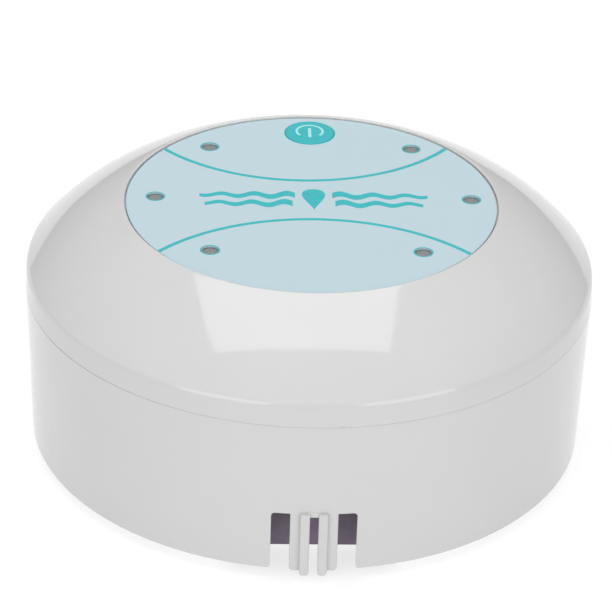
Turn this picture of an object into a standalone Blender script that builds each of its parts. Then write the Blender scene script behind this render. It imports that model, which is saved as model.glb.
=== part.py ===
"""Round control unit of a foot spa, modelled as the assembly it comes apart into.

Units are metres, +Z is up and the origin is on the table, under the middle of the round body.
The cable notch faces -Y, the power button is on the +Y side of the label.
"""

import math

import bmesh
import bpy
from mathutils import Matrix, Vector

MM = 0.001
GAP = 0.3 * MM                      # clearance left between pieces that touch
OVERCUT = 5.0 * MM                  # how far a cutter reaches past what it cuts

# Driving dimensions -------------------------------------------------------------------------
RIM_Z = 2.4 * MM                    # lower edge of the side wall; the feet hold it off the table
BODY_RADIUS = 75.0 * MM             # at the parting line, the widest place
RIM_RADIUS = 73.6 * MM              # at the lower edge of the side wall
RIM_FILLET = 1.2 * MM
WALL = 2.2 * MM                     # moulded wall thickness
PARTING_Z = 45.9 * MM               # parting line between side wall and top cover
LABEL_TOP_Z = 69.0 * MM
LABEL_THICKNESS = 0.5 * MM
LABEL_RADIUS = 48.55 * MM
LABEL_MARGIN = 0.4 * MM             # shadow gap round the label
COVER_EDGE_RISE = 0.5 * MM          # cover edge above the label's face

SHOULDER_LEAN = math.radians(3.1)   # the cover's skirt leans in above the parting line
SHOULDER_HEIGHT = 4.6 * MM
SHOULDER_RADIUS = 3.5 * MM
SHOULDER_SLOPE = math.radians(48.6)  # dome's slope where the shoulder ends

SHELL_SEGMENTS = 60
SMALL_SEGMENTS = 16
SCREW_SEGMENTS = 12

# Cable notch and the comb that grips the leads ------------------------------------------------
NOTCH_HALF_WIDTH = 10.85 * MM
NOTCH_TOP_Z = 20.0 * MM
NOTCH_CORNER = 1.0 * MM
COMB_HALF_WIDTH = 6.05 * MM
COMB_SLOT = 2.2 * MM                # slot between the two ribs
COMB_RIB_WIDTH = 2.4 * MM
COMB_FACE_Y = -73.9 * MM
COMB_BACK_Y = -71.4 * MM
RIB_FACE_Y = -74.9 * MM
FINGER_END_Z = 2.8 * MM
RIB_END_Z = 1.8 * MM
COMB_WEB = 1.0 * MM                 # bridge across the top of the slot

# Power button, lamps and the boards -----------------------------------------------------------
BUTTON_AT = (0.6 * MM, 39.6 * MM)
BUTTON_RADIUS = 6.5 * MM
BUTTON_PROUD = 0.15 * MM
KEY_CLEARANCE = 0.2 * MM            # slit round the key in the label
KEY_FLANGE_THICK = 1.2 * MM
BUTTON_FLANGE_RADIUS = 8.0 * MM
LAMPS = [(-26.6, 30.8), (27.8, 30.8), (-40.9, 2.0), (42.1, 2.0), (-26.6, -26.8), (27.8, -26.8)]
LAMP_RADIUS = 2.45 * MM
LAMP_WINDOW_RADIUS = 2.2 * MM       # hole in the label over each lamp
LAMP_TIP_Z = 68.8 * MM
LAMP_LENS_RADIUS = 2.0 * MM         # crowned end that looks out of the window
LAMP_LENS_RISE = 0.35 * MM
LAMP_FLANGE_RADIUS = 2.9 * MM
SWITCH_WIDTH = 6.0 * MM
SWITCH_HEIGHT = 3.4 * MM
PLUNGER_RADIUS = 1.7 * MM

CEILING_TOP_Z = LABEL_TOP_Z - LABEL_THICKNESS - GAP
CEILING_Z = CEILING_TOP_Z - WALL
BOARD_THICKNESS = 1.6 * MM
CONTROL_BOARD_Z = 58.2 * MM
CONTROL_BOARD_TOP_Z = CONTROL_BOARD_Z + BOARD_THICKNESS
CONTROL_BOARD_RADIUS = 46.0 * MM
CONTROL_SCREWS = [(-34, 14), (34, 14), (-34, -14), (34, -14)]

# Base, feet and the screws that hold the unit together ------------------------------------------
BASE_Z = 2.5 * MM
BASE_TOP_Z = BASE_Z + WALL
BASE_RADIUS = 70.9 * MM
BASE_SCREWS = [(-58, 22), (58, 22), (-58, -22), (58, -22)]
FEET = [(-36, 46), (36, 46), (-36, -46), (36, -46)]
FOOT_RADIUS = 6.3 * MM
COLUMN_RADIUS = 3.6 * MM
COLUMN_FOOT_Z = 9.0 * MM
CUP_RADIUS = 5.5 * MM
CUP_HEAD_ROOM_RADIUS = 3.4 * MM
POST_RADIUS = 3.0 * MM
GUSSET_THICK = 1.6 * MM
GUSSET_TOP_Z = 40.0 * MM
GUSSET_ANGLES = [0, 38, 90, 142, 180, 222, 318]

POWER_BOARD_Z = 9.5 * MM
POWER_BOARD_TOP_Z = POWER_BOARD_Z + BOARD_THICKNESS
POWER_BOARD_SIZE = (84 * MM, 64 * MM)
POWER_BOARD_Y = -4.0 * MM
POWER_SCREWS = [(-37, 23), (37, 23), (-37, -31), (37, -31)]

# Connector bay behind the notch ---------------------------------------------------------------
BAY_HALF_WIDTH = 19.0 * MM
BAY_WALL = 1.8 * MM
BAY_BACK_Y = -60.8 * MM             # front face of the bay's back wall
BAY_FRONT_RADIUS = 71.0 * MM
BAY_BOTTOM_Z = 2.0 * MM
BAY_CEILING_Z = 37.5 * MM
BAY_LUG_Z = 9.0 * MM
BAY_LUG_THICK = 2.0 * MM
BAY_SCREWS = [(-11, -54), (11, -54)]
SOCKET_X = 10.5 * MM
SOCKET_Y = -66.0 * MM
SOCKET_THREAD_RADIUS = 4.0 * MM
SOCKET_FLANGE_RADIUS = 4.9 * MM
SOCKET_DEPTH = 9.0 * MM
SOCKET_NUT_RADIUS = 5.4 * MM
SOCKET_NUT_HEIGHT = 2.0 * MM

# Screw shanks and the holes they turn in -------------------------------------------------------
COLUMN_HOLE_RADIUS = 1.8 * MM
BOSS_HOLE_RADIUS = 1.4 * MM
POST_HOLE_RADIUS = 1.5 * MM
LUG_HOLE_RADIUS = 1.6 * MM
COLUMN_HOLE_TOP_Z = 30.0 * MM
BOSS_HOLE_TOP_Z = 65.0 * MM
BASE_SCREW_SEAT_Z = 6.2 * MM
BASE_SCREW_LENGTH = 21.0 * MM
BOARD_SCREW_LENGTH = 6.0 * MM
BASE_HEAD_RADIUS = 2.9 * MM
BOARD_HEAD_RADIUS = 2.6 * MM
LEAD_RADIUS = 1.4 * MM


# Scene ------------------------------------------------------------------------------------------
for old in list(bpy.data.objects):
    bpy.data.objects.remove(old, do_unlink=True)


def collection(name):
    group = bpy.data.collections.new(name)
    bpy.context.scene.collection.children.link(group)
    return group


PARTS = collection("foot_spa_control_unit")
ORIGIN = bpy.data.objects.new("unit_origin", None)
PARTS.objects.link(ORIGIN)


def material(name, colour, roughness, metallic=0.0):
    made = bpy.data.materials.new(name)
    made.use_nodes = True
    shader = made.node_tree.nodes["Principled BSDF"]
    shader.inputs["Base Color"].default_value = (*colour, 1.0)
    shader.inputs["Roughness"].default_value = roughness
    shader.inputs["Metallic"].default_value = metallic
    return made


WHITE_ABS = material("white_abs", (0.72, 0.72, 0.72), 0.22)
DARK_ABS = material("dark_abs", (0.11, 0.10, 0.12), 0.5)
LABEL_FILM = material("label_film", (0.55, 0.69, 0.74), 0.4)
KEY_TEAL = material("key_teal", (0.07, 0.53, 0.57), 0.4)
LAMP_RESIN = material("lamp_resin", (0.35, 0.35, 0.36), 0.2)
BOARD_GREEN = material("board_green", (0.02, 0.18, 0.07), 0.45)
BLACK_RESIN = material("black_resin", (0.02, 0.02, 0.02), 0.5)
STEEL = material("steel", (0.55, 0.55, 0.56), 0.3, 1.0)
NICKEL = material("nickel", (0.6, 0.58, 0.53), 0.3, 1.0)
ALUMINIUM = material("aluminium", (0.75, 0.75, 0.77), 0.4, 1.0)
COPPER = material("copper_winding", (0.6, 0.25, 0.1), 0.35, 1.0)
BLUE_SLEEVE = material("blue_sleeve", (0.03, 0.08, 0.3), 0.35)
GREY_RUBBER = material("grey_rubber", (0.08, 0.08, 0.08), 0.8)
LEAD_GREY = material("lead_grey", (0.3, 0.3, 0.32), 0.6)
NYLON = material("natural_nylon", (0.75, 0.73, 0.66), 0.5)


def part(name, data, finish, location=(0, 0, 0)):
    """Put mesh or curve data in the assembly as the named sub-part."""
    made = bpy.data.objects.new(name, data)
    if not data.materials:
        data.materials.append(finish)
    made.location = location
    made.parent = ORIGIN
    PARTS.objects.link(made)
    return made


# Shapes -----------------------------------------------------------------------------------------
def mesh_from(bm, name):
    data = bpy.data.meshes.new(name)
    bm.to_mesh(data)
    bm.free()
    data.shade_smooth()
    data.set_sharp_from_angle(angle=math.radians(30))
    return data


def box_mesh(name, low, high):
    """Closed box between two corners."""
    low, high = Vector(low), Vector(high)
    bm = bmesh.new()
    bmesh.ops.create_cube(bm, size=1.0, matrix=Matrix.LocRotScale((low + high) / 2, None, high - low))
    return mesh_from(bm, name)


def rod_mesh(name, radius, low_z, high_z, segments=SMALL_SEGMENTS, at=(0, 0)):
    """Closed cylinder along Z."""
    bm = bmesh.new()
    middle = Matrix.Translation((at[0], at[1], (low_z + high_z) / 2))
    bmesh.ops.create_cone(bm, cap_ends=True, segments=segments, radius1=radius, radius2=radius,
                          depth=high_z - low_z, matrix=middle)
    return mesh_from(bm, name)


def turned_mesh(name, profile):
    """Half section in the XZ plane: (radius, height) points that run down the outer side."""
    points = [(radius, 0, height) for radius, height in profile]
    edges = [(i, i + 1) for i in range(len(points) - 1)]
    if profile[0][0] > 0:
        edges.append((len(points) - 1, 0))
    data = bpy.data.meshes.new(name)
    data.from_pydata(points, edges, [])
    return data


def turn(made, segments=SMALL_SEGMENTS):
    screw = made.modifiers.new("Turn", "SCREW")
    screw.steps = segments
    screw.render_steps = segments
    screw.use_merge_vertices = True
    screw.merge_threshold = 0.01 * MM
    return made


def bevel(made, width, segments=2):
    rounded = made.modifiers.new("Rounded edges", "BEVEL")
    rounded.width = width
    rounded.segments = segments
    return made


def tool(group, name, data, location=(0, 0, 0)):
    """A shape that is added to or cut from a part, and isn't a part itself."""
    made = bpy.data.objects.new(name, data)
    made.location = location
    made.hide_render = True
    made.display_type = "WIRE"
    group.objects.link(made)
    return made


def combine(made, operation, group):
    boolean = made.modifiers.new(operation.title(), "BOOLEAN")
    boolean.operation = operation
    boolean.solver = "EXACT"
    boolean.operand_type = "COLLECTION"
    boolean.collection = group
    return made


def place(points):
    """Positions given in millimetres, as metres."""
    return [(x * MM, y * MM) for x, y in points]


# Outer form of the cover ------------------------------------------------------------------------
def cover_curve(inset, arc_steps, shoulder_steps):
    """The cover's outer line from the label's edge to the parting line, moved in by inset.

    A leaning skirt rises from the parting line, a small arc turns it over into the dome, and
    one large arc goes on from there to the edge of the label's recess.
    """
    skirt_normal = Vector((math.cos(SHOULDER_LEAN), math.sin(SHOULDER_LEAN)))
    skirt_low = Vector((BODY_RADIUS, PARTING_Z))
    skirt_high = skirt_low + SHOULDER_HEIGHT * Vector((-skirt_normal.y, skirt_normal.x))
    line = [(skirt_low, skirt_normal)]

    middle = skirt_high - SHOULDER_RADIUS * skirt_normal
    for step in range(shoulder_steps + 1):
        angle = SHOULDER_LEAN + (math.pi / 2 - SHOULDER_SLOPE - SHOULDER_LEAN) * step / shoulder_steps
        normal = Vector((math.cos(angle), math.sin(angle)))
        line.append((middle + SHOULDER_RADIUS * normal, normal))

    start = line[-1][0]
    end = Vector((LABEL_RADIUS + LABEL_MARGIN + 0.5 * MM, LABEL_TOP_Z + COVER_EDGE_RISE))
    chord = start - end
    half_turn = SHOULDER_SLOPE - math.atan2(-chord.y, chord.x)
    arc_radius = chord.length / (2 * math.sin(half_turn))
    middle = start - arc_radius * Vector((math.sin(SHOULDER_SLOPE), math.cos(SHOULDER_SLOPE)))
    for step in range(1, arc_steps + 1):
        slope = SHOULDER_SLOPE - 2 * half_turn * step / arc_steps
        normal = Vector((math.sin(slope), math.cos(slope)))
        line.append((middle + arc_radius * normal, normal))

    moved = [point - inset * normal for point, normal in line]
    return [(point.x, point.y) for point in reversed(moved)]


# Casing -----------------------------------------------------------------------------------------
def build_top_cover():
    recess = LABEL_RADIUS + LABEL_MARGIN
    lower_edge = PARTING_Z + GAP / 2
    outer = cover_curve(0, 7, 4)
    inner = [point for point in reversed(cover_curve(WALL, 4, 2)) if point[1] < CEILING_Z - 0.5 * MM]
    profile = [(0, CEILING_TOP_Z), (recess, CEILING_TOP_Z), (recess, outer[0][1] - 0.4 * MM)]
    profile += outer[:-1] + [(BODY_RADIUS, lower_edge)]
    profile += [(BODY_RADIUS - WALL, lower_edge)] + inner[1:]
    profile += [(inner[-1][0] - 2.5 * MM, CEILING_Z), (0, CEILING_Z)]
    cover = turn(part("top_cover", turned_mesh("top_cover", profile), WHITE_ABS), SHELL_SEGMENTS)

    # The columns end inside the dome's wall, whatever its slope.
    trim = collection("column_trim")
    middle = [(0, CEILING_Z + WALL / 2)] + cover_curve(WALL / 2, 5, 3) + [(0, PARTING_Z - 60 * MM)]
    middle.insert(-1, (BODY_RADIUS - WALL, PARTING_Z - 60 * MM))
    turn(tool(trim, "dome_middle", turned_mesh("dome_middle", middle)), SHELL_SEGMENTS)

    bosses = collection("top_cover_bosses")
    for number, at in enumerate(place(BASE_SCREWS)):
        column = rod_mesh(f"column_{number}", COLUMN_RADIUS, COLUMN_FOOT_Z, LABEL_TOP_Z, at=at)
        combine(tool(bosses, column.name, column), "INTERSECT", trim)
    for number, at in enumerate(place(CONTROL_SCREWS)):
        low, high = CONTROL_BOARD_TOP_Z + GAP, CEILING_Z + 1 * MM
        tool(bosses, f"board_boss_{number}", rod_mesh("boss", POST_RADIUS, low, high, at=at))
    combine(cover, "UNION", bosses)

    holes = collection("top_cover_holes")
    below, above = CEILING_Z - OVERCUT / 2, LABEL_TOP_Z + OVERCUT
    for number, at in enumerate(place(BASE_SCREWS)):
        hole = rod_mesh("hole", COLUMN_HOLE_RADIUS, 0, COLUMN_HOLE_TOP_Z, SCREW_SEGMENTS, at)
        tool(holes, f"column_hole_{number}", hole)
    for number, at in enumerate(place(CONTROL_SCREWS)):
        hole = rod_mesh("hole", BOSS_HOLE_RADIUS, CONTROL_BOARD_Z, BOSS_HOLE_TOP_Z, SCREW_SEGMENTS, at)
        tool(holes, f"boss_hole_{number}", hole)
    for number, at in enumerate(place(LAMPS)):
        lamp_hole = rod_mesh("hole", LAMP_RADIUS + GAP, below, above, SMALL_SEGMENTS, at)
        tool(holes, f"lamp_hole_{number}", lamp_hole)
    key_hole = rod_mesh("hole", BUTTON_RADIUS + GAP, below, above, 32, BUTTON_AT)
    tool(holes, "button_hole", key_hole)
    combine(cover, "DIFFERENCE", holes)


def build_side_wall():
    """Tapered ring with a tongue that locates the cover, gussets and the cable comb."""
    top = PARTING_Z - GAP / 2
    tongue = BODY_RADIUS - WALL - GAP
    fillet = []
    for step in range(4):
        angle = math.radians(30 * step)
        fillet.append((RIM_RADIUS - RIM_FILLET * (1 - math.cos(angle)),
                       RIM_Z + RIM_FILLET * (1 - math.sin(angle))))
    inner_rim = RIM_RADIUS - WALL
    profile = [(BODY_RADIUS, top)] + fillet
    profile += [(inner_rim + 0.3 * MM, RIM_Z), (inner_rim, RIM_Z + 0.3 * MM)]
    profile += [(BODY_RADIUS - WALL, top - 4 * MM), (tongue - 1.4 * MM, top - 2.6 * MM)]
    profile += [(tongue - 1.4 * MM, top + 2.6 * MM), (tongue, top + 2.6 * MM), (tongue, top)]
    wall = turn(part("side_wall", turned_mesh("side_wall", profile), WHITE_ABS), SHELL_SEGMENTS)

    notch = collection("side_wall_notch")
    half, high = NOTCH_HALF_WIDTH, NOTCH_TOP_Z
    opening = box_mesh("notch", (-half, -BODY_RADIUS - OVERCUT, -OVERCUT), (half, -66 * MM, high))
    bevel(tool(notch, "notch", opening), NOTCH_CORNER, 2)
    combine(wall, "DIFFERENCE", notch)

    added = collection("side_wall_comb")
    slot = COMB_SLOT / 2
    rib = slot + COMB_RIB_WIDTH
    for side in (-1, 1):
        near, far = sorted((side * slot, side * COMB_HALF_WIDTH))
        root = high + 1.3 * MM
        finger = box_mesh("finger", (near, COMB_FACE_Y, FINGER_END_Z), (far, COMB_BACK_Y, root))
        tool(added, f"finger_{side}", finger)
        near, far = sorted((side * slot, side * rib))
        fin = box_mesh("rib", (near, RIB_FACE_Y, RIB_END_Z), (far, COMB_BACK_Y - GAP, high + GAP))
        tool(added, f"rib_{side}", fin)
    web_low = (-slot - 0.5 * MM, COMB_FACE_Y - 0.4 * MM, high - COMB_WEB)
    tool(added, "web", box_mesh("web", web_low, (slot + 0.5 * MM, COMB_BACK_Y - 0.6 * MM, high + 0.8 * MM)))
    for angle in GUSSET_ANGLES:
        low = (BODY_RADIUS - 5.7 * MM, -GUSSET_THICK / 2, BASE_TOP_Z + GAP)
        high = (BODY_RADIUS - 2.0 * MM, GUSSET_THICK / 2, GUSSET_TOP_Z)
        gusset = box_mesh("gusset", low, high)
        tool(added, f"gusset_{angle}", gusset).rotation_euler.z = math.radians(angle)
    combine(wall, "UNION", added)


def build_base_plate():
    disc = rod_mesh("base_plate", BASE_RADIUS, BASE_Z, BASE_TOP_Z, SHELL_SEGMENTS)
    base = part("base_plate", disc, WHITE_ABS)
    raised = collection("base_plate_bosses")
    sunk = collection("base_plate_holes")
    into_plate = BASE_TOP_Z - 1 * MM
    cup_top = COLUMN_FOOT_Z - GAP
    above = COLUMN_FOOT_Z + OVERCUT
    for number, at in enumerate(place(BASE_SCREWS)):
        tool(raised, f"cup_{number}", rod_mesh("cup", CUP_RADIUS, into_plate, cup_top, at=at))
        head_room = rod_mesh("hole", CUP_HEAD_ROOM_RADIUS, 0, BASE_SCREW_SEAT_Z + GAP, at=at)
        tool(sunk, f"head_room_{number}", head_room)
        shank_room = rod_mesh("hole", COLUMN_HOLE_RADIUS, BASE_SCREW_SEAT_Z, above, SCREW_SEGMENTS, at)
        tool(sunk, f"shank_room_{number}", shank_room)
    posts = [(at, POWER_BOARD_Z - GAP) for at in place(POWER_SCREWS)]
    posts += [(at, BAY_LUG_Z - GAP) for at in place(BAY_SCREWS)]
    for number, (at, top) in enumerate(posts):
        tool(raised, f"post_{number}", rod_mesh("post", POST_RADIUS, into_plate, top, at=at))
        hole = rod_mesh("hole", POST_HOLE_RADIUS, BASE_TOP_Z - GAP, above, SCREW_SEGMENTS, at)
        tool(sunk, f"post_hole_{number}", hole)
    for number, at in enumerate(place(FEET)):
        recess = rod_mesh("recess", FOOT_RADIUS + GAP, 0, BASE_Z + 0.8 * MM, SMALL_SEGMENTS, at)
        tool(sunk, f"foot_recess_{number}", recess)
    combine(base, "UNION", raised)
    edge = BAY_HALF_WIDTH + BAY_WALL + 0.4 * MM
    bay_back = BAY_BACK_Y + BAY_WALL + 0.4 * MM
    low, high = (-edge, -BODY_RADIUS - OVERCUT, -OVERCUT), (edge, bay_back, above)
    tool(sunk, "bay_cut", box_mesh("bay_cut", low, high))
    combine(base, "DIFFERENCE", sunk)


def build_feet():
    for number, at in enumerate(place(FEET), start=1):
        profile = [(0, 3.0), (6.3, 3.0), (6.3, 0.5), (5.8, 0.0), (0, 0.0)]
        profile = [(radius * MM, height * MM) for radius, height in profile]
        turn(part(f"foot_{number}", turned_mesh("foot", profile), GREY_RUBBER, (*at, 0)))


# Connector bay ----------------------------------------------------------------------------------
def build_connector_bay():
    wide = BAY_HALF_WIDTH + BAY_WALL
    back = BAY_BACK_Y + BAY_WALL
    top = BAY_CEILING_Z + BAY_WALL
    shell = box_mesh("connector_bay", (-wide, -BODY_RADIUS, BAY_BOTTOM_Z), (wide, back, top))
    bay = part("connector_bay", shell, DARK_ABS)

    curve = collection("bay_front_curve")
    tool(curve, "bay_front", rod_mesh("bay_front", BAY_FRONT_RADIUS, -OVERCUT, PARTING_Z, 96))
    combine(bay, "INTERSECT", curve)

    lug = collection("bay_lug")
    low = (-16 * MM, back - 0.8 * MM, BAY_LUG_Z)
    tool(lug, "lug", box_mesh("lug", low, (16 * MM, -50 * MM, BAY_LUG_Z + BAY_LUG_THICK)))
    combine(bay, "UNION", lug)

    hollow = collection("bay_hollow")
    below, above = BAY_CEILING_Z - OVERCUT, BAY_CEILING_Z + OVERCUT
    low = (-BAY_HALF_WIDTH, -BODY_RADIUS - OVERCUT, -OVERCUT)
    high = (BAY_HALF_WIDTH, BAY_BACK_Y, BAY_CEILING_Z)
    tool(hollow, "inside", box_mesh("inside", low, high))
    for side in (-1, 1):
        at = (side * SOCKET_X, SOCKET_Y)
        hole = rod_mesh("hole", SOCKET_THREAD_RADIUS + GAP, below, above, 24, at)
        tool(hollow, f"socket_hole_{side}", hole)
    for number, at in enumerate(place(BAY_SCREWS)):
        below, above = BAY_LUG_Z - OVERCUT, BAY_LUG_Z + OVERCUT
        hole = rod_mesh("hole", LUG_HOLE_RADIUS, below, above, SCREW_SEGMENTS, at)
        tool(hollow, f"lug_hole_{number}", hole)
    combine(bay, "DIFFERENCE", hollow)


def build_socket(name, x, bore, pins, pin_radius):
    """Threaded socket that faces down from the bay's ceiling, its contact pins on the blind end."""
    flange_top = BAY_CEILING_Z - GAP
    mouth = flange_top - 1.5 * MM
    blind = mouth + SOCKET_DEPTH
    rear = blind + 2 * MM
    thread = SOCKET_THREAD_RADIUS
    profile = [(0, rear), (thread, rear), (thread, flange_top)]
    profile += [(SOCKET_FLANGE_RADIUS, flange_top), (SOCKET_FLANGE_RADIUS, mouth)]
    profile += [(bore, mouth), (bore, blind), (0, blind)]
    socket = turn(part(name, turned_mesh(name, profile), NICKEL, (x, SOCKET_Y, 0)), 24)
    contacts = collection(f"{name}_contacts")
    for number, offset in enumerate(pins):
        pin = rod_mesh("pin", pin_radius, mouth + 1 * MM, blind + 1 * MM, 12, (offset, 0))
        tool(contacts, f"{name}_pin_{number}", pin, (x, SOCKET_Y, 0))
    tail = box_mesh("tail", (-2 * MM, -1.5 * MM, rear - 1 * MM), (2 * MM, 1.5 * MM, rear + 2.5 * MM))
    tool(contacts, f"{name}_tail", tail, (x, SOCKET_Y, 0))
    combine(socket, "UNION", contacts)


def build_socket_nuts():
    low = BAY_CEILING_Z + BAY_WALL + GAP
    for name, side in (("dc_jack_nut", -1), ("array_socket_nut", 1)):
        blank = rod_mesh(name, SOCKET_NUT_RADIUS, low, low + SOCKET_NUT_HEIGHT, 6)
        nut = part(name, blank, NICKEL, (side * SOCKET_X, SOCKET_Y, 0))
        thread = collection(f"{name}_thread")
        hole = rod_mesh("hole", SOCKET_THREAD_RADIUS + GAP, low - OVERCUT, low + OVERCUT, 24)
        tool(thread, f"{name}_hole", hole, (side * SOCKET_X, SOCKET_Y, 0))
        combine(nut, "DIFFERENCE", thread)


# Label, button and lamps ------------------------------------------------------------------------
def build_label():
    low = LABEL_TOP_Z - LABEL_THICKNESS
    disc = rod_mesh("label_overlay", LABEL_RADIUS, low, LABEL_TOP_Z, SHELL_SEGMENTS)
    label = part("label_overlay", disc, LABEL_FILM)
    holes = collection("label_holes")
    above = LABEL_TOP_Z + OVERCUT
    for number, at in enumerate(place(LAMPS)):
        window = rod_mesh("window", LAMP_WINDOW_RADIUS, low - OVERCUT, above, SMALL_SEGMENTS, at)
        tool(holes, f"window_{number}", window)
    key_hole = rod_mesh("key_hole", BUTTON_RADIUS + KEY_CLEARANCE, low - OVERCUT, above, 32, BUTTON_AT)
    tool(holes, "key_hole", key_hole)
    combine(label, "DIFFERENCE", holes)


def build_power_button():
    """Cap with a flange that keeps it under the cover; its origin is on its line of travel."""
    top = LABEL_TOP_Z + BUTTON_PROUD
    flange_top = CEILING_Z - GAP
    flange_low = flange_top - KEY_FLANGE_THICK
    profile = [(0, top), (BUTTON_RADIUS - 0.25 * MM, top), (BUTTON_RADIUS, top - 0.2 * MM)]
    profile += [(BUTTON_RADIUS, flange_top), (BUTTON_FLANGE_RADIUS, flange_top)]
    profile += [(BUTTON_FLANGE_RADIUS, flange_low), (0, flange_low)]
    turn(part("power_button", turned_mesh("power_button", profile), KEY_TEAL, (*BUTTON_AT, 0)), 32)


def build_lamps():
    """Round lamp bodies on the board, with a shallow crowned end inside each window."""
    low = CONTROL_BOARD_TOP_Z + GAP
    flange_top = low + 1 * MM
    edge = LAMP_TIP_Z - LAMP_LENS_RISE
    crown = (LAMP_LENS_RADIUS ** 2 + LAMP_LENS_RISE ** 2) / (2 * LAMP_LENS_RISE)
    profile = []
    for step in range(4):
        radius = LAMP_LENS_RADIUS * step / 3
        profile.append((radius, LAMP_TIP_Z - crown + math.sqrt(crown ** 2 - radius ** 2)))
    profile += [(LAMP_RADIUS, edge - 0.45 * MM), (LAMP_RADIUS, flange_top)]
    profile += [(LAMP_FLANGE_RADIUS, flange_top), (LAMP_FLANGE_RADIUS, low), (0, low)]
    for number, at in enumerate(place(LAMPS), start=1):
        turn(part(f"led_{number}", turned_mesh("led", profile), LAMP_RESIN, (*at, 0)), SMALL_SEGMENTS)


# Control board ----------------------------------------------------------------------------------
def build_control_board():
    disc = rod_mesh("control_board", CONTROL_BOARD_RADIUS, CONTROL_BOARD_Z, CONTROL_BOARD_TOP_Z, 48)
    board = part("control_board", disc, BOARD_GREEN)
    holes = collection("control_board_holes")
    for number, at in enumerate(place(CONTROL_SCREWS)):
        low, high = CONTROL_BOARD_Z - OVERCUT, CONTROL_BOARD_Z + OVERCUT
        hole = rod_mesh("hole", POST_HOLE_RADIUS, low, high, SCREW_SEGMENTS, at)
        tool(holes, f"board_hole_{number}", hole)
    combine(board, "DIFFERENCE", holes)

    under = CONTROL_BOARD_Z - GAP
    chip = box_mesh("controller_chip", (5 * MM, 4 * MM, under - 1.8 * MM), (15 * MM, 12 * MM, under))
    bevel(part("controller_chip", chip, BLACK_RESIN), 0.3 * MM, 1)
    sounder = [(0, 0), (6, 0), (6, -7.4), (5.4, -8), (1, -8), (1, -6.5), (0, -6.5)]
    sounder = [(radius * MM, height * MM) for radius, height in sounder]
    turn(part("buzzer", turned_mesh("buzzer", sounder), BLACK_RESIN, (-14 * MM, 8 * MM, under)), 24)
    header = box_mesh("control_header", (-7 * MM, -27 * MM, under - 6 * MM), (7 * MM, -21 * MM, under))
    bevel(part("control_header", header, NYLON), 0.4 * MM, 1)


def build_switch():
    """Tact switch under the button: a body with a round pocket and the plunger in it."""
    low = CONTROL_BOARD_TOP_Z + GAP
    half = SWITCH_WIDTH / 2
    body = box_mesh("switch_body", (-half, -half, low), (half, half, low + SWITCH_HEIGHT))
    body = part("switch_body", body, BLACK_RESIN, (*BUTTON_AT, 0))
    pocket = collection("switch_pocket")
    hole = rod_mesh("pocket", PLUNGER_RADIUS + GAP, low + 0.9 * MM, low + SWITCH_HEIGHT + OVERCUT)
    tool(pocket, "pocket", hole, (*BUTTON_AT, 0))
    combine(body, "DIFFERENCE", pocket)
    plunger_top = CEILING_Z - 2 * GAP - KEY_FLANGE_THICK
    plunger = rod_mesh("switch_plunger", PLUNGER_RADIUS, low + 1.6 * MM, plunger_top)
    part("switch_plunger", plunger, NYLON, (*BUTTON_AT, 0))


# Power board ------------------------------------------------------------------------------------
def build_power_board():
    half_x, half_y = POWER_BOARD_SIZE[0] / 2, POWER_BOARD_SIZE[1] / 2
    plate = box_mesh("power_board", (-half_x, POWER_BOARD_Y - half_y, POWER_BOARD_Z),
                     (half_x, POWER_BOARD_Y + half_y, POWER_BOARD_TOP_Z))
    board = part("power_board", plate, BOARD_GREEN)
    holes = collection("power_board_holes")
    for number, at in enumerate(place(POWER_SCREWS)):
        low, high = POWER_BOARD_Z - OVERCUT, POWER_BOARD_Z + OVERCUT
        hole = rod_mesh("hole", LUG_HOLE_RADIUS, low, high, SCREW_SEGMENTS, at)
        tool(holes, f"power_hole_{number}", hole)
    combine(board, "DIFFERENCE", holes)

    on_board = POWER_BOARD_TOP_Z + GAP
    bm = bmesh.new()
    upright = Matrix.Translation((9 * MM, 0, 4 * MM)) @ Matrix.Rotation(math.pi / 2, 4, "X")
    bmesh.ops.create_circle(bm, radius=4 * MM, segments=8, cap_ends=False, matrix=upright)
    ring = bpy.data.meshes.new("choke_coil")
    bm.to_mesh(ring)
    bm.free()
    turn(part("choke_coil", ring, COPPER, (-24 * MM, 10 * MM, on_board)), 20)

    can = [(0, 20), (3.9, 20), (4.2, 20.4), (4.6, 20.4), (5, 19.9)]
    can += [(5, 1.6), (4.7, 1.2), (5, 0.8), (5, 0), (0, 0)]
    can = [(radius * MM, height * MM) for radius, height in can]
    for number, x in enumerate((-30, -17), start=1):
        at = (x * MM, -16 * MM, on_board)
        turn(part(f"capacitor_{number}", turned_mesh("capacitor", can), BLUE_SLEEVE, at))

    relay = box_mesh("relay", (8 * MM, 6 * MM, on_board), (27 * MM, 21.5 * MM, on_board + 15 * MM))
    bevel(part("relay", relay, BLUE_SLEEVE), 0.5 * MM, 1)
    header = box_mesh("power_header", (-7 * MM, -35 * MM, on_board), (7 * MM, -29 * MM, on_board + 8 * MM))
    bevel(part("power_header", header, NYLON), 0.4 * MM, 1)
    fuse = [(0, 10), (2.6, 10), (2.6, 6), (2.3, 5.7), (2.3, -5.7), (2.6, -6), (2.6, -10), (0, -10)]
    fuse = [(radius * MM, height * MM) for radius, height in fuse]
    at = (-5 * MM, 24.6 * MM, on_board + 2.6 * MM)
    turn(part("fuse", turned_mesh("fuse", fuse), NICKEL, at), 12).rotation_euler.y = math.pi / 2


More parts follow.
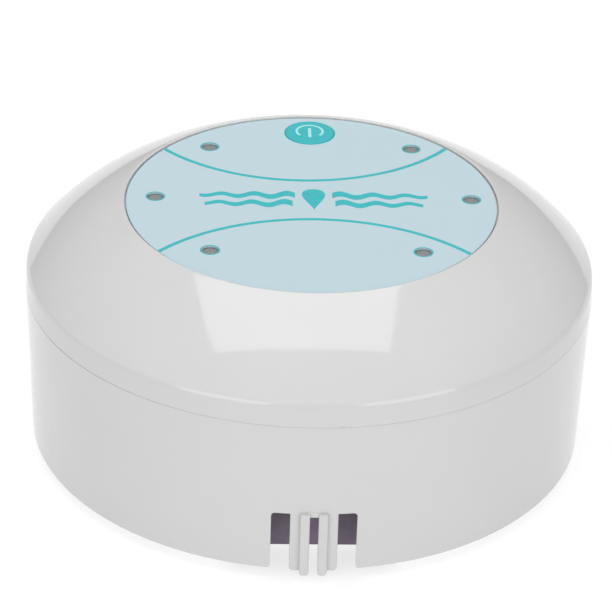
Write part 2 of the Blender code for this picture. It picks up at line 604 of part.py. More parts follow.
def build_heat_sink():
    """Comb of upright fins; the transistor stands against its flat back."""
    fin_count, fin_pitch, fin_thick = 6, 4.4 * MM, 1.2 * MM
    back, tip = 2.0 * MM, 10.0 * MM
    width = (fin_count - 1) * fin_pitch + fin_thick
    outline = []
    for fin in range(fin_count):
        left, right = fin * fin_pitch, fin * fin_pitch + fin_thick
        outline += [(left, back if fin else 0), (left, tip), (right, tip)]
        outline.append((right, back if fin < fin_count - 1 else 0))
    data = bpy.data.curves.new("heat_sink", "CURVE")
    data.dimensions = "2D"
    data.fill_mode = "BOTH"
    data.extrude = 11 * MM
    spline = data.splines.new("POLY")
    spline.points.add(len(outline) - 1)
    for point, (x, y) in zip(spline.points, outline):
        point.co = (x - width / 2, y, 0, 1)
    spline.use_cyclic_u = True
    base = POWER_BOARD_TOP_Z + GAP
    part("heat_sink", data, ALUMINIUM, (20 * MM, -14 * MM, base + data.extrude))
    low = (15 * MM, -19 * MM, base + 3 * MM)
    high = (25 * MM, -14 * MM - GAP, base + 18 * MM)
    body = box_mesh("power_transistor", low, high)
    bevel(part("power_transistor", body, BLACK_RESIN), 0.4 * MM, 1)


# Screws -----------------------------------------------------------------------------------------
def screw_mesh(name, head_radius, head, shank_radius, shank):
    """Pan head above the origin, shank below it."""
    dome = head * 0.35
    profile = [(0, head), (head_radius - dome, head), (head_radius, head - dome), (head_radius, 0)]
    profile += [(shank_radius, 0), (shank_radius, -shank + 0.8 * MM)]
    profile += [(shank_radius * 0.35, -shank), (0, -shank)]
    return turned_mesh(name, profile)


def build_screws():
    long_screw = screw_mesh("base_screw", BASE_HEAD_RADIUS, 1.8 * MM, 1.5 * MM, BASE_SCREW_LENGTH)
    board_screw = screw_mesh("board_screw", BOARD_HEAD_RADIUS, 1.6 * MM, 1.1 * MM, BOARD_SCREW_LENGTH)
    low_screw = screw_mesh("low_screw", BOARD_HEAD_RADIUS, 1.6 * MM, 1.2 * MM, BOARD_SCREW_LENGTH)
    upward = [("base_screw", long_screw, BASE_SCREWS, BASE_SCREW_SEAT_Z)]
    upward.append(("control_screw", board_screw, CONTROL_SCREWS, CONTROL_BOARD_Z - GAP))
    for name, data, places, seat in upward:
        for number, at in enumerate(place(places), start=1):
            screw = part(f"{name}_{number}", data, STEEL, (*at, seat))
            turn(screw, SCREW_SEGMENTS).rotation_euler.x = math.pi
    downward = [("power_screw", POWER_SCREWS, POWER_BOARD_TOP_Z + GAP)]
    downward.append(("bay_screw", BAY_SCREWS, BAY_LUG_Z + BAY_LUG_THICK + GAP))
    for name, places, seat in downward:
        for number, at in enumerate(place(places), start=1):
            turn(part(f"{name}_{number}", low_screw, STEEL, (*at, seat)), SCREW_SEGMENTS)


# Inner wiring -----------------------------------------------------------------------------------
def smooth_path(points, steps):
    """Points along a Catmull-Rom curve through the given ones, in metres."""
    knots = [Vector(point) * MM for point in points]
    knots = [2 * knots[0] - knots[1]] + knots + [2 * knots[-1] - knots[-2]]
    path = []
    for a, b, c, d in zip(knots, knots[1:], knots[2:], knots[3:]):
        for step in range(steps):
            t = step / steps
            path.append(0.5 * (2 * b + (c - a) * t + (2 * a - 5 * b + 4 * c - d) * t ** 2
                               + (3 * b - a - 3 * c + d) * t ** 3))
    return path + [knots[-2]]


def build_lead(name, points, radius):
    data = bpy.data.curves.new(name, "CURVE")
    data.dimensions = "3D"
    data.bevel_depth = radius
    data.bevel_resolution = 2
    data.use_fill_caps = True
    path = smooth_path(points, 3)
    spline = data.splines.new("POLY")
    spline.points.add(len(path) - 1)
    for point, at in zip(spline.points, path):
        point.co = (*at, 1)
    part(name, data, LEAD_GREY)


def build_ribbon():
    """Flat cable from the control board's header down to the power board's."""
    path = smooth_path([(0, -24, 51.6), (0, -24, 44), (0, -27, 36), (0, -31, 28), (0, -32, 19.7)], 3)
    half = 5 * MM
    bm = bmesh.new()
    rows = [[bm.verts.new((side * half, at.y, at.z)) for side in (-1, 1)] for at in path]
    for upper, lower in zip(rows, rows[1:]):
        bm.faces.new((upper[0], lower[0], lower[1], upper[1]))
    ribbon = part("ribbon_lead", mesh_from(bm, "ribbon_lead"), LEAD_GREY)
    thick = ribbon.modifiers.new("Thickness", "SOLIDIFY")
    thick.thickness = 1.0 * MM
    thick.offset = 0


build_top_cover()
build_side_wall()
build_base_plate()
build_feet()
build_connector_bay()
build_socket("dc_jack", -SOCKET_X, 3.2 * MM, [0], 1.05 * MM)
build_socket("array_socket", SOCKET_X, 3.3 * MM, [-1.4 * MM, 1.4 * MM], 0.6 * MM)
build_socket_nuts()
build_label()
build_power_button()
build_lamps()
build_control_board()
build_switch()
build_power_board()
build_heat_sink()
build_screws()
build_ribbon()
for name, side in (("dc_lead", -1), ("array_lead", 1)):
    route = [(10.5, -66, 49.8), (10.5, -65.2, 51.9), (11, -61, 53.1), (13, -56.5, 50)]
    route += [(18, -52, 38), (24, -44, 26), (28, -34, 19), (28, -32, 12)]
    build_lead(name, [(side * x, y, z) for x, y, z in route], LEAD_RADIUS)
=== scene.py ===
"""Looks of the round foot spa control unit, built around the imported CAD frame.

Units are metres, +Z is up, the cable notch faces -Y and the table is at z = 0. Shells, screws, label,
key, lamps and choke are modelled again in fine detail; the other CAD nodes stay, with rounded edges.
"""

import math

import bmesh
import bpy
from mathutils import Matrix, Vector


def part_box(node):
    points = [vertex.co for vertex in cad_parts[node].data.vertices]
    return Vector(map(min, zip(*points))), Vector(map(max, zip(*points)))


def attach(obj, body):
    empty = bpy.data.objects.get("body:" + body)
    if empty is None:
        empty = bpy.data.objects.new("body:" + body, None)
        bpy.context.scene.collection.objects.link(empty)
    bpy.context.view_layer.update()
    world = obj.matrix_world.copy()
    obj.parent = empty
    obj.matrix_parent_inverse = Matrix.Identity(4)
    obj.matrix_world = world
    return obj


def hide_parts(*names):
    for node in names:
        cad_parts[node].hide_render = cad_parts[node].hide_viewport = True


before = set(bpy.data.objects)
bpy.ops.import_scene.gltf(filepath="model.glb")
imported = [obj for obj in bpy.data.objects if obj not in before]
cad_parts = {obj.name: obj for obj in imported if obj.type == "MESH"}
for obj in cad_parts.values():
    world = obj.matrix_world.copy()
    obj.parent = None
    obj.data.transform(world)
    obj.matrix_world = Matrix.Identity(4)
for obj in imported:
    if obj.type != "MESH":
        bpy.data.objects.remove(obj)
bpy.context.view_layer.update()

MM = 0.001
CASING = "casing"
BUTTON = "button"


def centre(node):
    low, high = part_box(node)
    return (low + high) / 2


def numbered(stem, count):
    return [f"{stem}_{number}" for number in range(1, count + 1)]


# Sizes that the frame gives ---------------------------------------------------------------------
BODY_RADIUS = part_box("side_wall")[1].x
TONGUE_TOP_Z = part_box("side_wall")[1].z
RIB_END_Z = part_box("side_wall")[0].z
LABEL_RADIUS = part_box("label_overlay")[1].x
LABEL_LOW_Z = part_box("label_overlay")[0].z
LABEL_TOP_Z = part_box("label_overlay")[1].z
COVER_TOP_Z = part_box("top_cover")[1].z
COLUMN_FOOT_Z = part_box("top_cover")[0].z
KEY_CENTRE = centre("power_button")
KEY_LOW_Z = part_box("power_button")[0].z
KEY_TOP_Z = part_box("power_button")[1].z
KEY_FLANGE_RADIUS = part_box("power_button")[1].x - KEY_CENTRE.x
LAMPS = [centre(name) for name in numbered("led", 6)]
LAMP_LOW_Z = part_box("led_1")[0].z
LAMP_TIP_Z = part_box("led_1")[1].z
BASE_LOW_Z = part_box("base_plate")[0].z
BASE_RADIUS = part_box("base_plate")[1].x
FEET = [centre(name) for name in numbered("foot", 4)]
BASE_SCREWS = [centre(name) for name in numbered("base_screw", 4)]
CONTROL_SCREWS = [centre(name) for name in numbered("control_screw", 4)]
POWER_SCREWS = [centre(name) for name in numbered("power_screw", 4)]
BAY_SCREWS = [centre(name) for name in numbered("bay_screw", 2)]
BOARD_TOP_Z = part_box("control_board")[1].z
POWER_BOARD_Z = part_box("power_board")[0].z
BAY_LOW, BAY_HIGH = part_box("connector_bay")
JACK_CENTRE = centre("dc_jack")
ARRAY_CENTRE = centre("array_socket")

# Sizes of the shells, as in the CAD part ----------------------------------------------------------
GAP = 0.3 * MM                      # clearance between pieces
WALL = 2.2 * MM
PARTING_Z = 45.9 * MM
SEAM = 0.02 * MM                    # parting line as it shows on a closed casing
SEAM_EDGE = 0.08 * MM               # rounding on both sides of it
RIM_Z = 2.4 * MM
RIM_RADIUS = 73.6 * MM
RIM_FILLET = 1.2 * MM
SHOULDER_LEAN = math.radians(3.1)
SHOULDER_HEIGHT = 4.6 * MM
SHOULDER_RADIUS = 3.5 * MM
SHOULDER_SLOPE = math.radians(48.6)
RECESS_RADIUS = LABEL_RADIUS + 0.4 * MM
LIP_RADIUS = 0.4 * MM               # rounding of the cover's edge round the label
LIP_DROP = 0.42 * MM
TONGUE_THICK = 1.4 * MM
CEILING_TOP_Z = LABEL_LOW_Z - GAP
CEILING_Z = CEILING_TOP_Z - WALL
KEY_RADIUS = 6.5 * MM
KEY_SLIT = 0.2 * MM                 # round the key, in the label
LAMP_RADIUS = 2.45 * MM
WINDOW_RADIUS = 2.2 * MM
NOTCH_HALF_WIDTH = 10.85 * MM
NOTCH_TOP_Z = 20.0 * MM
NOTCH_CORNER = 1.0 * MM
NOTCH_FLARE = 1.6 * MM              # rounded corners where the notch meets the rim
GATE_TURNS = (-87.6, -85.2)         # degrees round from +X
GATE_RADIUS = 0.48 * MM
GATE_STRETCH = (0.55, 1.0, 0.8, 1.0)    # flat against the wall, a little wider than high
COMB_SLOT = 1.1 * MM                # half of the slot between the ribs
COMB_RIB = 3.5 * MM                 # outer side of a rib
COMB_FLANGE = 6.05 * MM             # outer side of a finger
COMB_FACE_Y = -73.9 * MM
COMB_BACK_Y = -71.4 * MM
RIB_FACE_Y = -74.9 * MM
FINGER_END_Z = 2.8 * MM
BASE_TOP_Z = BASE_LOW_Z + WALL
BAY_WALL = 1.8 * MM
BAY_BACK_Y = -60.8 * MM
BAY_FRONT_RADIUS = 71.0 * MM
BAY_LUG_Z = 9.0 * MM
COLUMN_RADIUS = 3.6 * MM
COLUMN_HOLE_RADIUS = 1.8 * MM
COLUMN_HOLE_TOP_Z = 30.0 * MM
BOSS_HOLE_TOP_Z = 65.0 * MM
CUP_RADIUS = 5.5 * MM
CUP_HEAD_ROOM_RADIUS = 3.4 * MM
CUP_HEAD_ROOM_Z = 6.5 * MM
POST_RADIUS = 3.0 * MM
POST_HOLE_RADIUS = 1.5 * MM
BOSS_HOLE_RADIUS = 1.4 * MM
LUG_HOLE_RADIUS = 1.6 * MM
FOOT_RADIUS = 6.3 * MM
FOOT_TOP_Z = 3.0 * MM
SOCKET_THREAD_RADIUS = 4.0 * MM
SOCKET_FLANGE_RADIUS = 4.9 * MM
GUSSET_TURNS = (0, 38, 90, 142, 180, 222, 318)
GUSSET_INNER = 69.3 * MM
GUSSET_OUTER = 73.0 * MM
GUSSET_HALF = 0.8 * MM
GUSSET_TOP_Z = 40.0 * MM
GROOVE_OUTER = 64.0 * MM            # shallow groove near the base plate's edge
GROOVE_WIDTH = 1.8 * MM
GROOVE_DEPTH = 0.4 * MM
LUG_HALF_WIDTH = 16.0 * MM
LUG_BACK_Y = -50.0 * MM
LUG_THICK = 2.0 * MM
DEEP = 20 * MM                      # how far a cutter reaches past what it cuts

SHELL_SEGMENTS = 240
ROUND_SEGMENTS = 48

# Choke coil
CHOKE_WIRE = 0.42 * MM
CHOKE_TURNS = 30
CHOKE_STEPS = 16                    # points along one turn
CHOKE_SWEEP = math.radians(330)

# Printed label --------------------------------------------------------------------------------------
INK_HEIGHT = 0.02 * MM
PRINT_X, PRINT_Y = 0.6 * MM, 1.1 * MM   # the whole print sits a little off the disc's centre
FAR_ARC = (-1.6 * MM, 60.2 * MM, 48.4 * MM)     # centre and radius of each printed arc
NEAR_ARC = (0.2 * MM, -62.7 * MM, 52.95 * MM)
ARC_WIDTH = 1.2 * MM
LAMP_RING_RADIUS = 2.6 * MM
KEY_RING_RADIUS = 6.95 * MM
SYMBOL_OFFSET_Y = 0.8 * MM
SYMBOL_RADIUS = 3.55 * MM
SYMBOL_STROKE = 0.65 * MM
SYMBOL_GAP = math.radians(96)
SYMBOL_BAR = (-3.5 * MM, 1.8 * MM)
SYMBOL_BAR_HALF = 0.42 * MM
DROP_HALF_HEIGHT = 5.8 * MM
RIPPLES = ((4.9, 30.0, 2.3), (5.6, 28.6, -2.3))     # mm from the middle: near end, far end, height
RIPPLE_SWING = 1.05 * MM
RIPPLE_LENGTH = 8.6 * MM            # of one wave
RIPPLE_THICK, RIPPLE_THIN = 3.0 * MM, 1.7 * MM

# Camera and light -----------------------------------------------------------------------------------
CAMERA_ELEVATION = math.radians(29.83)
CAMERA_TURN = math.radians(2.42)
CAMERA_ROLL = math.radians(1.77)
CAMERA_DISTANCE = 0.9
AIM_BASE_Z = 2.0 * MM
CAMERA_LENS = 194.7
AIM_RIGHT = 0.62 * MM
AIM_UP = 30.74 * MM
OVERHEAD_WIDTH, OVERHEAD_LENGTH = 0.575, 0.62
OVERHEAD_LEAN = math.radians(16)
OVERHEAD_EDGE = Vector((-0.031, -0.137, 0.6))   # its front edge, from the dome's front
OVERHEAD_RADIANCE = 2.65
FRONT_LIGHTS = (("front_left", -33, 18), ("front_right", 36, 19))   # degrees round and up
FRONT_WIDTH, FRONT_HEIGHT = 0.62, 0.46
FRONT_RADIANCE = 2.6
SKY_LOW, SKY_HIGH = 0.22, 0.69


# Procedural materials -------------------------------------------------------------------------------
class Finish:
    """A Principled material whose colour, roughness and relief come from textures in object space."""

    def __init__(self, slot, colour, roughness, metallic=0.0, **sockets):
        self.material = bpy.data.materials.new(f"finish_{slot}")
        self.material.use_nodes = True
        self.tree = self.material.node_tree
        self.shader = self.tree.nodes["Principled BSDF"]
        self.colour = colour
        self.shader.inputs["Roughness"].default_value = roughness
        self.shader.inputs["Metallic"].default_value = metallic
        for name, value in sockets.items():
            self.shader.inputs[name.replace("_", " ")].default_value = value
        self.place = self.node("ShaderNodeTexCoord").outputs["Object"]
        self.tint = (*colour, 1.0)
        self.normal = None

    def node(self, kind, inputs=None, **settings):
        made = self.tree.nodes.new(kind)
        for name, value in settings.items():
            setattr(made, name, value)
        for name, value in (inputs or {}).items():
            self.feed(made.inputs[name], value)
        return made

    def feed(self, socket, value):
        if isinstance(value, bpy.types.NodeSocket):
            self.tree.links.new(value, socket)
        else:
            socket.default_value = value

    def stretched(self, x, y, z):
        """Object coordinates scaled along each axis."""
        return self.node("ShaderNodeMapping", {"Vector": self.place, "Scale": (x, y, z)}).outputs["Vector"]

    def noise(self, size, detail=2.0, at=None):
        """Grey noise whose blotches are about size across."""
        inputs = {"Vector": at or self.place, "Scale": 1 / size, "Detail": detail}
        return self.node("ShaderNodeTexNoise", inputs).outputs["Fac"]

    def spread(self, value, low, high, start, end):
        """Value from low to high becomes start to end."""
        inputs = {"Value": value, "From Min": low, "From Max": high, "To Min": start, "To Max": end}
        return self.node("ShaderNodeMapRange", inputs).outputs["Result"]

    def math(self, operation, first, second=0.0):
        return self.node("ShaderNodeMath", {0: first, 1: second}, operation=operation).outputs[0]

    def axis(self, name):
        return self.node("ShaderNodeSeparateXYZ", {"Vector": self.place}).outputs[name]

    def blend(self, factor, colour):
        """Lay a second colour over the tint where factor is 1."""
        inputs = {0: factor, 6: self.tint, 7: (*colour, 1.0)}
        self.tint = self.node("ShaderNodeMix", inputs, data_type="RGBA").outputs[2]
        return self

    def mottle(self, size, change):
        """Uneven tone: the colour drifts darker by the given share."""
        darker = tuple(channel * (1 - change) for channel in self.colour)
        return self.blend(self.spread(self.noise(size, 3.0), 0.3, 0.7, 0.0, 1.0), darker)

    def polish(self, size, low, high, at=None):
        """Roughness that wanders between two values."""
        value = self.spread(self.noise(size, 3.0, at), 0.3, 0.7, low, high)
        self.feed(self.shader.inputs["Roughness"], value)
        return self

    def relief(self, height, depth):
        """Surface relief of that depth, on top of the relief so far."""
        bump = self.node("ShaderNodeBump", {"Height": height, "Distance": depth, "Strength": 1.0})
        if self.normal:
            self.feed(bump.inputs["Normal"], self.normal)
        self.normal = bump.outputs["Normal"]
        return self

    def specks(self, pitch, radius, share, colour):
        """Scattered dust specks: one in a share of the cells has one."""
        cells = self.node("ShaderNodeTexVoronoi", {"Vector": self.place, "Scale": 1 / pitch})
        near = self.math("LESS_THAN", cells.outputs["Distance"], radius / pitch)
        chosen = self.node("ShaderNodeSeparateColor", {"Color": cells.outputs["Color"]}).outputs["Red"]
        return self.blend(self.math("MULTIPLY", near, self.math("LESS_THAN", chosen, share)), colour)

    def done(self):
        self.feed(self.shader.inputs["Base Color"], self.tint)
        if self.normal:
            self.feed(self.shader.inputs["Normal"], self.normal)
        return self.material


def white_abs():
    """Glossy moulded casing: slow flow waves, faint orange peel, and painted shade along the seam's crease,
    heavier on the left.
    """
    finish = Finish("white_abs", (0.592, 0.592, 0.59), 0.07, IOR=1.46)
    finish.mottle(22 * MM, 0.02)
    # Painted shade: the colour darkens along the parting line's crease, more on the left side, broken up by
    # streaky noise.
    off_seam = finish.math("ABSOLUTE", finish.math("SUBTRACT", finish.axis("Z"), PARTING_Z))
    near_seam = finish.spread(off_seam, 0.05 * MM, 0.3 * MM, 1.0, 0.0)
    on_left = finish.spread(finish.axis("X"), -66 * MM, -35 * MM, 0.75, 0.08)
    streaky = finish.spread(finish.noise(5 * MM, 3.0), 0.35, 0.65, 0.35, 1.0)
    painted_seam_shade = finish.math("MULTIPLY", near_seam, finish.math("MULTIPLY", on_left, streaky))
    finish.blend(painted_seam_shade, (0.3, 0.29, 0.28))
    finish.specks(13 * MM, 0.34 * MM, 0.09, (0.33, 0.32, 0.31))
    finish.polish(6 * MM, 0.045, 0.09)
    finish.relief(finish.noise(16 * MM, 1.0), 0.09 * MM)
    return finish.relief(finish.noise(0.5 * MM, 2.0), 0.0005 * MM).done()


def dark_abs():
    finish = Finish("dark_abs", (0.21, 0.165, 0.225), 0.45, IOR=1.5)
    finish.mottle(4 * MM, 0.15).polish(2 * MM, 0.38, 0.55)
    finish.specks(3 * MM, 0.12 * MM, 0.2, (0.34, 0.31, 0.34))
    return finish.relief(finish.noise(0.35 * MM, 3.0), 0.006 * MM).done()


def label_film():
    """Satin film with a very fine screen-printed tooth."""
    finish = Finish("label_film", (0.482, 0.612, 0.662), 0.42, IOR=1.5)
    finish.mottle(9 * MM, 0.012).polish(1.2 * MM, 0.38, 0.48)
    finish.specks(7 * MM, 0.1 * MM, 0.06, (0.40, 0.50, 0.53))
    return finish.relief(finish.noise(0.22 * MM, 2.0), 0.0012 * MM).done()


def ink(name, colour, change):
    """Screen-printed ink, slightly uneven in cover."""
    finish = Finish(name, colour, 0.4, IOR=1.5)
    finish.mottle(1.4 * MM, change).polish(0.8 * MM, 0.34, 0.46)
    return finish.relief(finish.noise(0.18 * MM, 2.0), 0.001 * MM).done()


def lamp_resin():
    """Diffusing grey resin, darker on its lower side where the window shades it."""
    finish = Finish("lamp_resin", (0.22, 0.228, 0.228), 0.26, IOR=1.52)
    low = finish.spread(finish.axis("Z"), LAMP_TIP_Z - 0.75 * MM, LAMP_TIP_Z - 0.4 * MM, 1.0, 0.0)
    finish.blend(low, (0.13, 0.12, 0.125))
    finish.polish(0.6 * MM, 0.2, 0.34)
    return finish.relief(finish.noise(0.5 * MM, 2.0), 0.004 * MM).done()


def board_green():
    """Solder mask over copper tracks, with bare pads."""
    finish = Finish("board_green", (0.02, 0.16, 0.065), 0.38, IOR=1.5)
    inputs = {"Vector": finish.stretched(1, 1, 0.01), "Scale": 1 / (3.2 * MM)}
    tracks = finish.node("ShaderNodeTexVoronoi", inputs, feature="DISTANCE_TO_EDGE").outputs["Distance"]
    track = finish.spread(tracks, 0.05, 0.07, 1.0, 0.0)
    finish.blend(track, (0.045, 0.29, 0.12))
    finish.specks(1.9 * MM, 0.42 * MM, 0.35, (0.62, 0.6, 0.55))
    finish.polish(3 * MM, 0.3, 0.48)
    return finish.relief(track, 0.03 * MM).done()


def black_resin():
    finish = Finish("black_resin", (0.022, 0.022, 0.024), 0.5, IOR=1.5)
    finish.blend(finish.spread(finish.noise(1.2 * MM, 4.0), 0.4, 0.7, 0.0, 1.0), (0.05, 0.05, 0.052))
    finish.polish(1 * MM, 0.4, 0.62)
    return finish.relief(finish.noise(0.2 * MM, 3.0), 0.008 * MM).done()


def metal(slot, colour, low, high, grain, stretch):
    """Plated or drawn metal: fine lines in one direction and tone that drifts."""
    finish = Finish(slot, colour, low, 1.0)
    finish.mottle(2.5 * MM, 0.14)
    lines = finish.stretched(*stretch)
    finish.polish(grain, low, high, lines)
    return finish.relief(finish.noise(grain, 3.0, lines), 0.003 * MM).done()


def copper_winding():
    finish = Finish("copper_winding", (0.62, 0.25, 0.095), 0.28, 1.0, Coat_Weight=0.6)
    finish.mottle(1.1 * MM, 0.25).polish(0.8 * MM, 0.22, 0.36)
    return finish.relief(finish.noise(0.3 * MM, 2.0), 0.004 * MM).done()


def blue_sleeve():
    """Plain shrink sleeve with a few tight wrinkles."""
    finish = Finish("blue_sleeve", (0.025, 0.07, 0.27), 0.32, IOR=1.5)
    finish.mottle(2 * MM, 0.2).polish(1.5 * MM, 0.25, 0.4)
    return finish.relief(finish.noise(1.0 * MM, 2.0, finish.stretched(1, 1, 6)), 0.01 * MM).done()


def rubber(slot, colour):
    finish = Finish(slot, colour, 0.75, IOR=1.5)
    paler = tuple(channel * 1.7 for channel in colour)
    finish.blend(finish.spread(finish.noise(1.3 * MM, 5.0), 0.45, 0.75, 0.0, 0.6), paler)
    finish.polish(0.9 * MM, 0.62, 0.85)
    return finish.relief(finish.noise(0.25 * MM, 4.0), 0.015 * MM).done()


def natural_nylon():
    finish = Finish("natural_nylon", (0.72, 0.69, 0.6), 0.42, IOR=1.53, Subsurface_Weight=0.15)
    finish.shader.inputs["Subsurface Radius"].default_value = (1.5 * MM, 1.2 * MM, 0.8 * MM)
    finish.mottle(1.6 * MM, 0.06).polish(1 * MM, 0.35, 0.5)
    return finish.relief(finish.noise(0.3 * MM, 2.0), 0.004 * MM).done()


FINISHES = {
    "white_abs": white_abs(),
    "dark_abs": dark_abs(),
    "label_film": label_film(),
    "key_teal": ink("key_teal", (0.032, 0.465, 0.5), 0.08),
    "lamp_resin": lamp_resin(),
    "board_green": board_green(),
    "black_resin": black_resin(),
    "steel": metal("steel", (0.56, 0.56, 0.57), 0.24, 0.38, 0.5 * MM, (1, 1, 1)),
    "nickel": metal("nickel", (0.62, 0.6, 0.55), 0.18, 0.3, 0.4 * MM, (1, 1, 5)),
    "aluminium": metal("aluminium", (0.76, 0.76, 0.78), 0.3, 0.46, 0.5 * MM, (6, 6, 0.2)),
    "copper_winding": copper_winding(),
    "blue_sleeve": blue_sleeve(),
    "grey_rubber": rubber("grey_rubber", (0.075, 0.075, 0.078)),
    "lead_grey": rubber("lead_grey", (0.26, 0.26, 0.28)),
    "natural_nylon": natural_nylon(),
}
SYMBOL_INK = ink("symbol_ink", (0.42, 0.73, 0.76), 0.05)


# Mesh tools -----------------------------------------------------------------------------------------
def piece_from(bm, name):
    data = bpy.data.meshes.new(name)
    bm.to_mesh(data)
    bm.free()
    piece = bpy.data.objects.new(name, data)
    bpy.context.scene.collection.objects.link(piece)
    return piece


def arc(middle, radius, start, end, steps):
    """Points on a circle about middle, from one angle to the other."""
    points = []
    for step in range(steps + 1):
        angle = start + (end - start) * step / steps
        points.append((middle[0] + radius * math.cos(angle), middle[1] + radius * math.sin(angle)))
    return points


def rounded(points, steps=4):
    """Outline whose corners that carry a third number are arcs of that radius."""
    line = []
    for index, point in enumerate(points):
        if len(point) == 2:
            line.append(point)
            continue
        corner = Vector(point[:2])
        before = (Vector(points[index - 1][:2]) - corner).normalized()
        after = (Vector(points[(index + 1) % len(points)][:2]) - corner).normalized()
        half = before.angle(after) / 2
        middle = corner + (before + after).normalized() * point[2] / math.sin(half)
        first = corner + before * point[2] / math.tan(half) - middle
        last = corner + after * point[2] / math.tan(half) - middle
        start = math.atan2(first.y, first.x)
        sweep = (math.atan2(last.y, last.x) - start + math.pi) % (2 * math.pi) - math.pi
        line += arc(middle, point[2], start, start + sweep, steps)
    return line


def lathe(name, profile, segments=ROUND_SEGMENTS, at=(0, 0)):
    """Closed solid turned about a vertical axis; its (radius, height) points run down its outside."""
    bm = bmesh.new()
    rings = []
    for radius, height in profile:
        if radius < 1e-7:
            rings.append([bm.verts.new((at[0], at[1], height))] * segments)
            continue
        spots = arc(at, radius, 0, 2 * math.pi, segments)[:-1]
        rings.append([bm.verts.new((x, y, height)) for x, y in spots])
    pairs = list(zip(rings, rings[1:]))
    if profile[0][0] > 1e-7:
        pairs.append((rings[-1], rings[0]))
    for upper, lower in pairs:
        for step in range(segments):
            after = (step + 1) % segments
            corners = dict.fromkeys([upper[step], lower[step], lower[after], upper[after]])
            if len(corners) > 2:
                bm.faces.new(corners)
    return piece_from(bm, name)


def rod(radius, low, high, at, segments=ROUND_SEGMENTS):
    return lathe("rod", [(0, high), (radius, high), (radius, low), (0, low)], segments, at)


def slab(name, outline, low, high, along="Z"):
    """Closed solid with a flat outline, from low to high along Z or Y."""
    bm = bmesh.new()
    layers = []
    for level in (low, high):
        if along == "Z":
            layers.append([bm.verts.new((u, v, level)) for u, v in outline])
        else:
            layers.append([bm.verts.new((u, level, v)) for u, v in outline])
    bottom, top = layers
    bm.faces.new(reversed(bottom))
    bm.faces.new(top)
    for index in range(len(outline)):
        after = (index + 1) % len(outline)
        bm.faces.new((bottom[index], bottom[after], top[after], top[index]))
    bmesh.ops.recalc_face_normals(bm, faces=bm.faces)
    return piece_from(bm, name)


def rounded_box(name, low, high, radius=0.0, segments=3):
    low, high = Vector(low), Vector(high)
    bm = bmesh.new()
    bmesh.ops.create_cube(bm, size=1.0, matrix=Matrix.LocRotScale((low + high) / 2, None, high - low))
    if radius:
        bmesh.ops.bevel(bm, geom=bm.edges[:], offset=radius, segments=segments, profile=0.5, affect="EDGES")
    return piece_from(bm, name)


def settle(piece):
    """Turn the piece's modifiers into plain mesh."""
    source = piece.evaluated_get(bpy.context.evaluated_depsgraph_get())
    data = bpy.data.meshes.new_from_object(source)
    piece.modifiers.clear()
    piece.data = data
    return piece


def combine(piece, operation, tools):
    """Add the tool shapes to the piece or cut them from it, and remove them."""
    group = bpy.data.collections.new("tools")
    bpy.context.scene.collection.children.link(group)
    for shape in tools:
        bpy.context.scene.collection.objects.unlink(shape)
        group.objects.link(shape)
    boolean = piece.modifiers.new("Combine", "BOOLEAN")
    boolean.operation = operation
    boolean.solver = "EXACT"
    boolean.operand_type = "COLLECTION"
    boolean.collection = group
    bpy.context.view_layer.update()
    settle(piece)
    for shape in tools:
        bpy.data.objects.remove(shape)
    bpy.data.collections.remove(group)
    return piece


def curve_mesh(data):
    """Closed mesh of a curve's filled or bevelled shape."""
    drawing = bpy.data.objects.new(data.name + "_drawing", data)
    bpy.context.scene.collection.objects.link(drawing)
    source = drawing.evaluated_get(bpy.context.evaluated_depsgraph_get())
    flat = bpy.data.meshes.new_from_object(source)
    bpy.data.objects.remove(drawing)
    bm = bmesh.new()
    bm.from_mesh(flat)
    bmesh.ops.remove_doubles(bm, verts=bm.verts, dist=0.001 * MM)
    bmesh.ops.recalc_face_normals(bm, faces=bm.faces)
    return bm


def round_edges(piece, width, where, segments=2):
    """Round the sharp edges whose middle passes the test."""
    bm = bmesh.new()
    bm.from_mesh(piece.data)
    bmesh.ops.remove_doubles(bm, verts=bm.verts, dist=0.002 * MM)
    sharp = []
    for edge in bm.edges:
        middle = (edge.verts[0].co + edge.verts[1].co) / 2
        if edge.calc_face_angle(0) > math.radians(40) and where(middle):
            sharp.append(edge)
    bmesh.ops.bevel(bm, geom=sharp, offset=width, segments=segments, profile=0.5, affect="EDGES",
                    clamp_overlap=True)
    bm.to_mesh(piece.data)
    bm.free()
    return piece


def dress(piece, slot, *nodes, body=CASING, finish=None, smooth=38):
    """Give a piece its finish and smooth shading, hide the CAD nodes it stands for, and attach it to the
    body it rides on.
    """
    piece.data.materials.clear()
    piece.data.materials.append(finish or FINISHES[slot])
    piece.data.shade_smooth()
    piece.data.set_sharp_from_angle(angle=math.radians(smooth))
    weighted = piece.modifiers.new("Even shading", "WEIGHTED_NORMAL")
    weighted.keep_sharp = True
    weighted.weight = 80
    if nodes:
        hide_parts(*nodes)
    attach(piece, body)
    return piece


